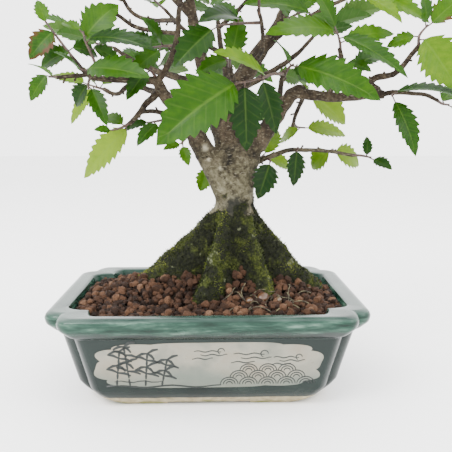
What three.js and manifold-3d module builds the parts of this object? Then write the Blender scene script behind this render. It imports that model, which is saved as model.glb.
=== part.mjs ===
// A Japanese zelkova bonsai in an oblong glazed pot with indented corners.
// Millimetres, +Z up. The front is -Y, and the long side of the pot runs along X.
// The tree is laid out round the middle of the pot, and the whole group is then moved so that
// its origin is the middle of the bounding box, on the surface that the pot's feet stand on.

import * as THREE from 'three';
import Module from 'manifold-3d';
import { mergeVertices } from 'three/addons/utils/BufferGeometryUtils.js';

const wasm = await Module();
wasm.setup();

// Driving dimensions of the pot
const POT_HEIGHT = 50;
const RIM_HALF_LENGTH = 80;
const RIM_HALF_WIDTH = 60;
const FLANGE = 9.5;
const LIP_BOTTOM = 38.5;
const FLOOR_TOP = 9;
const FOOT_RECESS = 3.5;
const FOOT_RIM = 8;
const ARCH_HEIGHT = 1.4;
const ARCH_HALF_LENGTH = 21;
const ARCH_HALF_WIDTH = 14;
const DRAIN_RADIUS = 6;
const DRAIN_OFFSET = 32;
const CORNER_STEPS = 3;

// Driving dimensions of the soil and the drain meshes
const GAP = 0.4;
const SOIL_EDGE = 45.2;
const SOIL_RISE = 15.5;
const GRANULE_PITCH = 5.2;
const GRANULE_RELIEF = 1.9;
const MESH_SIZE = 20;
const MESH_THICKNESS = 1.2;
const MESH_SLOTS = 2;

// Driving dimensions of the tree
const TRUNK = { x: 14.4, y: 2, radius: 10.4 };
const FLARE_TOP = 96;
const FLARE_BOTTOM = 42;
const CROTCH_HEIGHT = 120;
const FORK_HEIGHT = 130;
const BARK_SIDES = 18;
const LIMB_SIDES = 6;
const BRANCH_SIDES = 4;
const STOUT_RADIUS = 2;
const TAPER = 1.5;

// Driving dimensions of the leaves and their twigs
const TWIG_SIDES = 3;
const TWIG_BASE_RADIUS = 1;
const TWIG_TIP_RADIUS = 0.7;
const PETIOLE = 2.6;
const STEM_DEPTH = 0.35;
const STEM_SETBACK = 1.5;
const PETIOLE_HALF_WIDTH = 0.65;
const BLADE_THICKNESS = 1.1;
const BLADE_ASPECT = 0.52;
const LEAF_CLEARANCE = 0.45;

const COLOURS = {
  glaze: 0x41605a,
  soil: 0x6b4433,
  plastic: 0x20221f,
  bark: 0x8a7f6c,
  leaf: 0x4f9a2c,
};

const vec = (x, y, z) => new THREE.Vector3(x, y, z);
const UP = vec(0, 0, 1);

// Solids from points and triangles, and back to geometry
function solidOf(points, faces) {
  const vertProperties = new Float32Array(points.flatMap((p) => [p.x, p.y, p.z]));
  const triVerts = new Uint32Array(faces.flat());
  return new wasm.Manifold(new wasm.Mesh({ numProp: 3, vertProperties, triVerts }));
}

function solidOfGeometry(geometry) {
  geometry.deleteAttribute('normal');
  geometry.deleteAttribute('uv');
  const merged = mergeVertices(geometry, 1e-4);
  const vertProperties = merged.attributes.position.array;
  const triVerts = new Uint32Array(merged.index.array);
  return new wasm.Manifold(new wasm.Mesh({ numProp: 3, vertProperties, triVerts }));
}

function meshOf(name, solid, material) {
  const { vertProperties, triVerts } = solid.getMesh();
  const geometry = new THREE.BufferGeometry();
  geometry.setAttribute('position', new THREE.BufferAttribute(vertProperties, 3));
  geometry.setIndex(new THREE.BufferAttribute(triVerts, 1));
  geometry.computeVertexNormals();
  const mesh = new THREE.Mesh(geometry, material);
  mesh.name = name;
  return mesh;
}

function finish(color, roughness) {
  return new THREE.MeshStandardMaterial({ color, roughness, metalness: 0 });
}

// A closed skin through rings of equally many points, each ring anticlockwise round the way on
function loft(rings) {
  const count = rings[0].length;
  const points = rings.flat();
  const faces = [];
  for (let i = 0; i + 1 < rings.length; i += 1) {
    for (let j = 0; j < count; j += 1) {
      const next = (j + 1) % count;
      const a = i * count + j;
      const b = i * count + next;
      faces.push([a, b, b + count], [a, b + count, a + count]);
    }
  }
  const last = (rings.length - 1) * count;
  for (let j = 1; j + 1 < count; j += 1) {
    faces.push([0, j + 1, j], [last, last + j, last + j + 1]);
  }
  return solidOf(points, faces);
}

// Seeded random numbers from 0 to 1
function drawsFrom(...keys) {
  let state = keys.reduce((sum, key) => (sum * 131 + key + 7) % 2147483647, 17);
  const draw = () => {
    state = (state * 16807) % 2147483647;
    return state / 2147483647;
  };
  draw();
  return draw;
}

// One ring of the pot: a rectangle whose corners step in by two rounded shoulders.
// depth 1 is the full step at the corner, and 0 is a plain rounded corner.
const OUTER_CORNER = { front: 14, side: 18, notchX: 7.5, notchY: 11 };
const INNER_CORNER = { front: 17.5, side: 19, notchX: 11.5, notchY: 11.5 };

function cornerPoints(halfX, halfY, corner, depth) {
  const sideEnd = [halfX, halfY - corner.side];
  const notch = [halfX - corner.notchX, halfY - corner.notchY];
  const frontEnd = [halfX - corner.front, halfY];
  const arc = (from, to, angle) => [
    to[0] + (from[0] - to[0]) * Math.cos(angle),
    from[1] + (to[1] - from[1]) * Math.sin(angle),
  ];
  const points = [];
  for (let i = 0; i <= 2 * CORNER_STEPS; i += 1) {
    const angle = (i / CORNER_STEPS) * (Math.PI / 2);
    const stepped = i <= CORNER_STEPS
      ? arc(sideEnd, notch, angle)
      : arc(notch, frontEnd, angle - Math.PI / 2);
    const plain = arc(sideEnd, frontEnd, angle / 2);
    points.push([
      plain[0] + (stepped[0] - plain[0]) * depth,
      plain[1] + (stepped[1] - plain[1]) * depth,
    ]);
  }
  return points;
}

function potRing(halfX, halfY, z, corner, depth) {
  const quarter = cornerPoints(halfX, halfY, corner, depth);
  const back = quarter.slice().reverse();
  return [
    ...quarter.map(([x, y]) => vec(x, y, z)),
    ...back.map(([x, y]) => vec(-x, y, z)),
    ...quarter.map(([x, y]) => vec(-x, -y, z)),
    ...back.map(([x, y]) => vec(x, -y, z)),
  ];
}

// Half lengths of the pot's outside at each height, with the depth of the corner's step
const BELLY = [
  { z: 0, x: 53.5, y: 38.5, depth: 0 },
  { z: 1.4, x: 57.4, y: 40, depth: 0.1 },
  { z: 4, x: 61.4, y: 42.4, depth: 0.3 },
  { z: 7, x: 64.6, y: 44.6, depth: 0.55 },
  { z: 10, x: 67, y: 46, depth: 0.8 },
  { z: LIP_BOTTOM, x: 73.5, y: 53.2, depth: 1 },
  { z: 41, x: 76.4, y: 56.4, depth: 1 },
  { z: 44, x: 79.2, y: 59.2, depth: 1 },
  { z: 47, x: RIM_HALF_LENGTH, y: RIM_HALF_WIDTH, depth: 1 },
  { z: 49.2, x: 79.2, y: 59.2, depth: 1 },
  { z: POT_HEIGHT, x: 77.6, y: 57.6, depth: 1 },
];

// One ring of the pot's inside, less some room, at a height
function innerRing(z, room = 0) {
  const run = (POT_HEIGHT - z) / (POT_HEIGHT - FLOOR_TOP);
  const halfX = RIM_HALF_LENGTH - FLANGE - 9.5 * run - room;
  const halfY = RIM_HALF_WIDTH - FLANGE + 1 - 11.5 * run - room;
  const lip = Math.max(0, (z - LIP_BOTTOM) / (POT_HEIGHT - LIP_BOTTOM));
  return potRing(halfX, halfY, z, INNER_CORNER, 0.85 + 0.15 * lip);
}

function makePot() {
  const foot = BELLY[0];
  const recess = (z) =>
    potRing(foot.x - FOOT_RIM, foot.y - FOOT_RIM, z, OUTER_CORNER, 0);
  const outside = BELLY.map((b) => potRing(b.x, b.y, b.z, OUTER_CORNER, b.depth));
  const inside = [POT_HEIGHT - 0.6, LIP_BOTTOM, FLOOR_TOP].map((z) => innerRing(z));
  let pot = loft([recess(FOOT_RECESS), recess(0), ...outside, ...inside]);
  for (const side of [-1, 1]) {
    const hole = new THREE.CylinderGeometry(DRAIN_RADIUS, DRAIN_RADIUS, FLOOR_TOP, 16);
    hole.rotateX(Math.PI / 2);
    hole.translate(side * DRAIN_OFFSET, 0, (FOOT_RECESS + FLOOR_TOP) / 2);
    pot = pot.subtract(solidOfGeometry(hole));
  }
  const front = archCutter(ARCH_HALF_LENGTH);
  front.rotateX(Math.PI / 2);
  front.translate(0, RIM_HALF_LENGTH, 0);
  const sides = archCutter(ARCH_HALF_WIDTH);
  sides.rotateX(Math.PI / 2);
  sides.rotateZ(Math.PI / 2);
  sides.translate(-RIM_HALF_LENGTH, 0, 0);
  return pot.subtract(solidOfGeometry(front)).subtract(solidOfGeometry(sides));
}

// A low arch with rounded ends, as long as the pot, that parts the foot rim into feet
function archCutter(half) {
  const outline = new THREE.Shape();
  outline.moveTo(-half, -1);
  outline.lineTo(half, -1);
  outline.lineTo(half, 0);
  outline.quadraticCurveTo(half - 2, ARCH_HEIGHT, half - 6, ARCH_HEIGHT);
  outline.lineTo(-half + 6, ARCH_HEIGHT);
  outline.quadraticCurveTo(-half + 2, ARCH_HEIGHT, -half, 0);
  outline.closePath();
  return new THREE.ExtrudeGeometry(outline, {
    depth: 2 * RIM_HALF_LENGTH,
    bevelEnabled: false,
    curveSegments: 3,
  });
}

// Height of the soil's even surface: a mound round the flare, with a heap between two roots
function soilHeight(x, y) {
  const along = Math.exp(-((Math.abs(x - 6) / 62) ** 3)) * (1 - (Math.abs(x) / 72) ** 6);
  const across = Math.exp(-((y / 24) ** 2));
  const heap = 8 * Math.exp(-(((x - 17) / 9) ** 2) - ((y + 9) / 8) ** 2);
  return SOIL_EDGE + SOIL_RISE * Math.max(along, 0) * across + heap;
}

// The soil's bed: a triangular lattice whose every third point is the top of a granule
function soilBlock() {
  const rowStep = GRANULE_PITCH * Math.sqrt(0.75);
  const rows = Math.ceil((2 * RIM_HALF_WIDTH) / rowStep);
  const columns = Math.ceil((2 * RIM_HALF_LENGTH) / GRANULE_PITCH);
  const draw = drawsFrom(5);
  const points = [];
  for (let j = 0; j <= rows; j += 1) {
    for (let i = 0; i <= columns; i += 1) {
      const x = (i + (j % 2) / 2 - columns / 2) * GRANULE_PITCH + (draw() - 0.5);
      const y = (j - rows / 2) * rowStep + (draw() - 0.5);
      const isTop = (((i - Math.floor(j / 2) - j) % 3) + 3) % 3 === 0;
      const lift = isTop ? GRANULE_RELIEF * (0.6 + 0.6 * draw()) : -0.4 * draw();
      points.push(vec(x, y, soilHeight(x, y) + lift));
    }
  }
  const width = columns + 1;
  const faces = [];
  for (let j = 0; j < rows; j += 1) {
    for (let i = 0; i < columns; i += 1) {
      const a = j * width + i;
      const c = a + width;
      if (j % 2 === 0) faces.push([a, a + 1, c], [a + 1, c + 1, c]);
      else faces.push([a, a + 1, c + 1], [a, c + 1, c]);
    }
  }
  return closeBelow(points, faces, width, rows, columns, FLOOR_TOP - 5);
}

// Walls and a floor under a lattice's top faces
function closeBelow(points, faces, width, rows, columns, z) {
  const rim = [];
  for (let i = 0; i < columns; i += 1) rim.push(i);
  for (let j = 0; j < rows; j += 1) rim.push(j * width + columns);
  for (let i = columns; i > 0; i -= 1) rim.push(rows * width + i);
  for (let j = rows; j > 0; j -= 1) rim.push(j * width);
  const first = points.length;
  rim.forEach((index) => points.push(vec(points[index].x, points[index].y, z)));
  const middle = points.length;
  points.push(vec(0, 0, z));
  rim.forEach((index, k) => {
    const next = (k + 1) % rim.length;
    faces.push([index, first + k, first + next], [index, first + next, rim[next]]);
    faces.push([middle, first + next, first + k]);
  });
  return solidOf(points, faces);
}

function makeSoil(rootsWithRoom) {
  const top = innerRing(SOIL_EDGE + 2, GAP);
  const bed = [innerRing(FLOOR_TOP + GAP, GAP), innerRing(LIP_BOTTOM, GAP), top];
  bed.push(top.map((point) => vec(point.x, point.y, POT_HEIGHT + SOIL_RISE)));
  let soil = soilBlock().intersect(loft(bed)).subtract(rootsWithRoom);
  for (const side of [-1, 1]) {
    const size = MESH_SIZE + 2 * GAP;
    const pocket = new THREE.BoxGeometry(size, size, 2 * (MESH_THICKNESS + 2 * GAP));
    pocket.translate(side * DRAIN_OFFSET, 0, FLOOR_TOP);
    soil = soil.subtract(solidOfGeometry(pocket));
  }
  return soil;
}

// A square of plastic mesh with slots, laid over a drainage hole
function drainMesh(x) {
  const z = FLOOR_TOP + GAP + MESH_THICKNESS / 2;
  const plate = new THREE.BoxGeometry(MESH_SIZE, MESH_SIZE, MESH_THICKNESS);
  plate.translate(x, 0, z);
  let mesh = solidOfGeometry(plate);
  const pitch = MESH_SIZE / MESH_SLOTS;
  for (let i = 0; i < MESH_SLOTS; i += 1) {
    for (let j = 0; j < MESH_SLOTS; j += 1) {
      const slot = new THREE.BoxGeometry(0.7 * pitch, 0.7 * pitch, 2 * MESH_THICKNESS);
      slot.translate(x + (i + 0.5) * pitch - MESH_SIZE / 2, (j + 0.5) * pitch - MESH_SIZE / 2, z);
      mesh = mesh.subtract(solidOfGeometry(slot));
    }
  }
  return mesh;
}

// A tapering limb through hand-set points
function limb(route, startRadius, endRadius, sides = LIMB_SIDES) {
  const points = route.map(([x, y, z]) => vec(x, y, z));
  const rings = [];
  let side = null;
  points.forEach((point, i) => {
    const before = points[Math.max(i - 1, 0)];
    const after = points[Math.min(i + 1, points.length - 1)];
    const along = after.clone().sub(before).normalize();
    if (!side) side = Math.abs(along.z) > 0.9 ? vec(1, 0, 0) : UP.clone();
    side = side.clone().addScaledVector(along, -side.dot(along)).normalize();
    const across = along.clone().cross(side);
    const left = (1 - i / (points.length - 1)) ** TAPER;
    const radius = endRadius + (startRadius - endRadius) * left;
    const ring = [];
    for (let j = 0; j < sides; j += 1) {
      const angle = (2 * Math.PI * (j + 0.5)) / sides;
      ring.push(
        point.clone()
          .addScaledVector(side, radius * Math.cos(angle))
          .addScaledVector(across, radius * Math.sin(angle)),
      );
    }
    rings.push(ring);
  });
  return loft(rings);
}

// Roots of the flare: heading in degrees from +X, reach past the trunk at the soil, and spread
const ROOTS = [
  { heading: 181, reach: 38, spread: 15 },
  { heading: -4, reach: 28, spread: 16 },
  { heading: -121, reach: 19, spread: 13 },
  { heading: 128, reach: 26, spread: 15 },
  { heading: 52, reach: 27, spread: 15 },
  { heading: -52, reach: 13, spread: 12 },
];
const ROOT_VALLEY = 5;
const SOIL_LINE = 57;
const BURIED_RUN = 1.15;

function trunkRadius(z) {
  const waist = TRUNK.radius + 3.4 * Math.max(0, (z - 104) / 22) ** 1.5;
  const dome = Math.max(0, (z - CROTCH_HEIGHT) / (FORK_HEIGHT - CROTCH_HEIGHT));
  return waist * Math.sqrt(1 - 0.8 * dome ** 2);
}

function flareRadius(angle, z) {
  const slope = (FLARE_TOP - z) / (FLARE_TOP - SOIL_LINE);
  const run = Math.min(Math.max(0, slope), BURIED_RUN);
  let reach = ROOT_VALLEY * run ** 2;
  for (const root of ROOTS) {
    const away = ((((angle * 180) / Math.PI - root.heading + 540) % 360) + 360) % 360 - 180;
    reach += root.reach * run * Math.exp(-((away / root.spread) ** 2) / 2);
  }
  return trunkRadius(z) + reach;
}

const TRUNK_LEVELS = [FLARE_BOTTOM, 52, 59, 66, 75, 85, FLARE_TOP, 104, 115, 123, FORK_HEIGHT];

function rootsAndTrunk(room) {
  const rings = TRUNK_LEVELS.map((z) => {
    const ring = [];
    for (let j = 0; j < BARK_SIDES; j += 1) {
      const angle = (2 * Math.PI * j) / BARK_SIDES;
      const radius = flareRadius(angle, z) + room;
      ring.push(vec(TRUNK.x + radius * Math.cos(angle), TRUNK.y + radius * Math.sin(angle), z));
    }
    return ring;
  });
  return loft(rings);
}

// Limbs and branches that the front shows: route, radius at its start and at its end
const FRONT_LIMBS = [
  { route: [[12, 1, 101], [1, -2, 121], [-6.5, -6, 134], [-15, -11, 145], [-23, -14, 156], [-26, -16, 163]], r: [7.6, 2.6] },
  { route: [[-26, -16, 161], [-19, -20, 170], [-15, -22, 183], [-14, -24, 192], [-12, -24, 206]], r: [1.7, 1.2] },
  { route: [[-25, -14, 156], [-31, -16, 151], [-34, -20, 146], [-39, -25, 140]], r: [2, 1.2] },
  { route: [[-26, -16, 162], [-34, -16, 162], [-44, -18, 162], [-53, -22, 162], [-59, -24, 164], [-66, -26, 172]], r: [2.2, 1.2] },
  { route: [[-58, -24, 164], [-66, -26, 163], [-73, -28, 162]], r: [1.2, 0.9] },
  { route: [[-24, -14, 156], [-31, -2, 158], [-41, 6, 162], [-50, 13, 157], [-58, 16, 160]], r: [1.8, 1.1] },
  { route: [[-18, -11, 144], [-28, -8, 147], [-36, -6, 146]], r: [1.5, 1] },
  { route: [[-14, -23, 190], [-22, -6, 193], [-30, 4, 195], [-39, 6, 198], [-45, 4, 206]], r: [1.4, 1] },
  { route: [[-15, -22, 184], [-34, -12, 188], [-45, -14, 194], [-53, -17, 199]], r: [1.2, 0.9] },
  { route: [[17, 0, 103], [22, -2, 122], [28.5, -6, 134], [38, -10, 148], [43, -12, 155], [49, -12, 157]], r: [7, 2.9] },
  { route: [[47, -12, 156], [56, -12, 155], [68, -14, 154], [82, -16, 155], [90, -17, 155]], r: [3, 2.2] },
  { route: [[88, -16, 155], [96, -18, 156], [109, -18, 155], [117, -19, 152]], r: [1.5, 0.9] },
  { route: [[78, -15, 156], [84, -20, 163], [93, -24, 165], [100, -28, 174], [103, -30, 178]], r: [2, 1.1] },
  { route: [[62, -13, 155], [66, -22, 168], [64, -29, 176]], r: [1.7, 1.1] },
  { route: [[37, -10, 147], [36, -22, 157], [37, -31, 165]], r: [1.7, 1.2] },
  { route: [[20, 1, 114], [25, 0, 119], [32, -2, 123], [41, -6, 126], [50, -9, 127], [64, -12, 126], [76, -13, 124]], r: [1.9, 0.9] },
  { route: [[46, -10, 156], [52, 8, 155], [50, 19, 147], [49, 26, 140]], r: [1.7, 1] },
  { route: [[14, 2, 112], [10.5, 3, 132], [13, 6, 152], [20, 9, 167], [25, 10, 175], [31, 10, 183], [37, 10, 191], [44, 10, 206]], r: [8, 3.2] },
  { route: [[15, 7, 158], [13, -6, 164], [11, -17, 170]], r: [1.5, 1] },
  { route: [[31, 10, 182], [44, 2, 191], [58, -8, 198], [72, -12, 204]], r: [1.6, 1] },
  { route: [[24, 10, 173], [28, -8, 178], [27, -22, 186], [24, -34, 193]], r: [1.4, 0.9] },
];

// Limbs of the crown above and behind
const CROWN_LIMBS = [
  { route: [[44, 10, 204], [49, 11, 218], [50, 9, 234], [48, 4, 250]], r: [3.2, 1.4] },
  { route: [[47, 11, 212], [60, 14, 220], [74, 16, 230], [86, 16, 240]], r: [2.2, 1.2] },
  { route: [[9, 4, 132], [2, 10, 156], [-5, 16, 182], [-9, 17, 204], [-10, 14, 226], [-7, 8, 248]], r: [6, 1.5] },
  { route: [[-9, 17, 200], [-24, 15, 214], [-40, 11, 226], [-52, 8, 238]], r: [2.4, 1.2] },
  { route: [[-9, 15, 216], [4, 8, 230], [14, 0, 244], [19, -6, 256]], r: [2.1, 1.2] },
  { route: [[12, 5, 130], [14, 22, 150], [12, 38, 168], [8, 50, 186], [6, 55, 204]], r: [5.4, 1.4] },
  { route: [[13, 30, 159], [34, 42, 170], [52, 48, 182], [64, 50, 194]], r: [2.6, 1.2] },
  { route: [[0, 12, 162], [-20, 28, 168], [-40, 38, 176], [-56, 43, 186]], r: [2.8, 1.2] },
  { route: [[-12, -24, 204], [-20, -29, 216], [-27, -32, 228]], r: [1.3, 1] },
  { route: [[-45, 4, 205], [-60, 4, 213], [-74, 2, 222]], r: [1.1, 0.9] },
  { route: [[72, -12, 203], [82, -15, 214], [89, -17, 226]], r: [1.2, 0.9] },
  { route: [[50, 10, 228], [42, -10, 234], [36, -28, 240]], r: [1.6, 1] },
  { route: [[9, 47, 183], [-12, 52, 196], [-26, 54, 210]], r: [1.7, 1] },
  { route: [[7, 54, 200], [22, 56, 214], [32, 52, 228]], r: [1.5, 1] },
];

// Knots of healed cuts: place and radius
const KNOTS = [
  { at: [84, -16, 157], radius: 4.4 },
  { at: [47, -12, 157], radius: 4.2 },
];

function makeTree(room) {
  let tree = rootsAndTrunk(room);
  for (const { route, r } of [...FRONT_LIMBS, ...CROWN_LIMBS]) {
    const sides = r[0] > STOUT_RADIUS ? LIMB_SIDES : BRANCH_SIDES;
    tree = tree.add(limb(route, r[0] + room, r[1] + room, sides));
  }
  for (const { at, radius } of KNOTS) {
    const knot = new THREE.IcosahedronGeometry(radius + room, 0);
    knot.scale(1, 0.9, 0.8);
    knot.translate(...at);
    tree = tree.add(solidOfGeometry(knot));
  }
  return tree;
}

// Half width of a blade from its base, 0, to its tip, 1, as a share of its greatest half width
function bladeOutline(u) {
  return (u ** 0.62 * (1 - u)) / 0.34;
}

// Points of one margin, base first: forward teeth with a notch behind each
function bladeMargin(teeth) {
  const margin = [];
  for (let k = 0; k < teeth; k += 1) {
    const notch = 0.03 + (0.88 * k) / teeth;
    const tooth = 0.03 + (0.88 * (k + 0.86)) / teeth;
    margin.push({ u: notch, w: bladeOutline(notch) * (k === 0 ? 1 : 0.84) });
    margin.push({ u: tooth, w: bladeOutline(tooth) * 1.1 });
  }
  return margin;
}

// A leaf: petiole, toothed blade folded along its midrib and drooping to its tip.
// Its two faces share the margin and part at the midrib, so the blade is thickest there.
function leafSolid(leaf, room = 0) {
  const along = leaf.tip.clone().sub(leaf.base);
  const length = along.length();
  along.normalize();
  const normal = leaf.facing.clone().addScaledVector(along, -leaf.facing.dot(along)).normalize();
  const across = along.clone().cross(normal);
  const halfWidth = leaf.width / 2 + 3 * room;
  const half = BLADE_THICKNESS / 2 + 1.5 * room;
  const rib = (u) =>
    leaf.base.clone()
      .addScaledVector(along, u * length)
      .addScaledVector(normal, 4 * leaf.arch * length * u * (1 - u));
  const ribs = [
    { u: 0, at: leaf.base },
    { u: 0.42, at: rib(0.42) },
  ];
  const margin = [
    { u: 0, at: leaf.base, w: PETIOLE_HALF_WIDTH + room },
    ...bladeMargin(leaf.teeth).map(({ u, w }) => ({ u, at: rib(u), w: w * halfWidth })),
  ];
  const points = [];
  const faces = [];
  const add = (point) => points.push(point) - 1;
  const stem = add(leaf.stem.clone());
  const tip = add(rib(1).addScaledVector(along, room));
  const top = ribs.map(({ at }) => add(at.clone().addScaledVector(normal, half)));
  const bottom = ribs.map(({ at }) => add(at.clone().addScaledVector(normal, -half)));
  const sides = [1, -1].map((sign) =>
    margin.map(({ u, at, w }) => {
      const out = at.clone().addScaledVector(across, sign * w);
      if (u > 0) out.addScaledVector(normal, w * leaf.fold);
      return add(out);
    }));
  const zip = (edge, middle, flip) => {
    const edgeLine = [stem, ...edge, tip];
    const ribLine = [stem, ...middle, tip];
    const edgeAt = [-1, ...margin.map(({ u }) => u), 1];
    const ribAt = [-1, ...ribs.map(({ u }) => u), 1];
    let i = 0;
    let j = 0;
    while (i + 1 < edgeLine.length || j + 1 < ribLine.length) {
      const onEdge = j + 1 >= ribLine.length || (edgeAt[i + 1] ?? 2) <= ribAt[j + 1];
      const face = onEdge
        ? [edgeLine[i], edgeLine[i + 1], ribLine[j]]
        : [edgeLine[i], ribLine[j + 1], ribLine[j]];
      if (new Set(face).size === 3) faces.push(flip ? face.slice().reverse() : face);
      if (onEdge) i += 1;
      else j += 1;
    }
  };
  zip(sides[0], top, false);
  zip(sides[1], top, true);
  zip(sides[0], bottom, true);
  zip(sides[1], bottom, false);
  return solidOf(points, faces);
}

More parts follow.
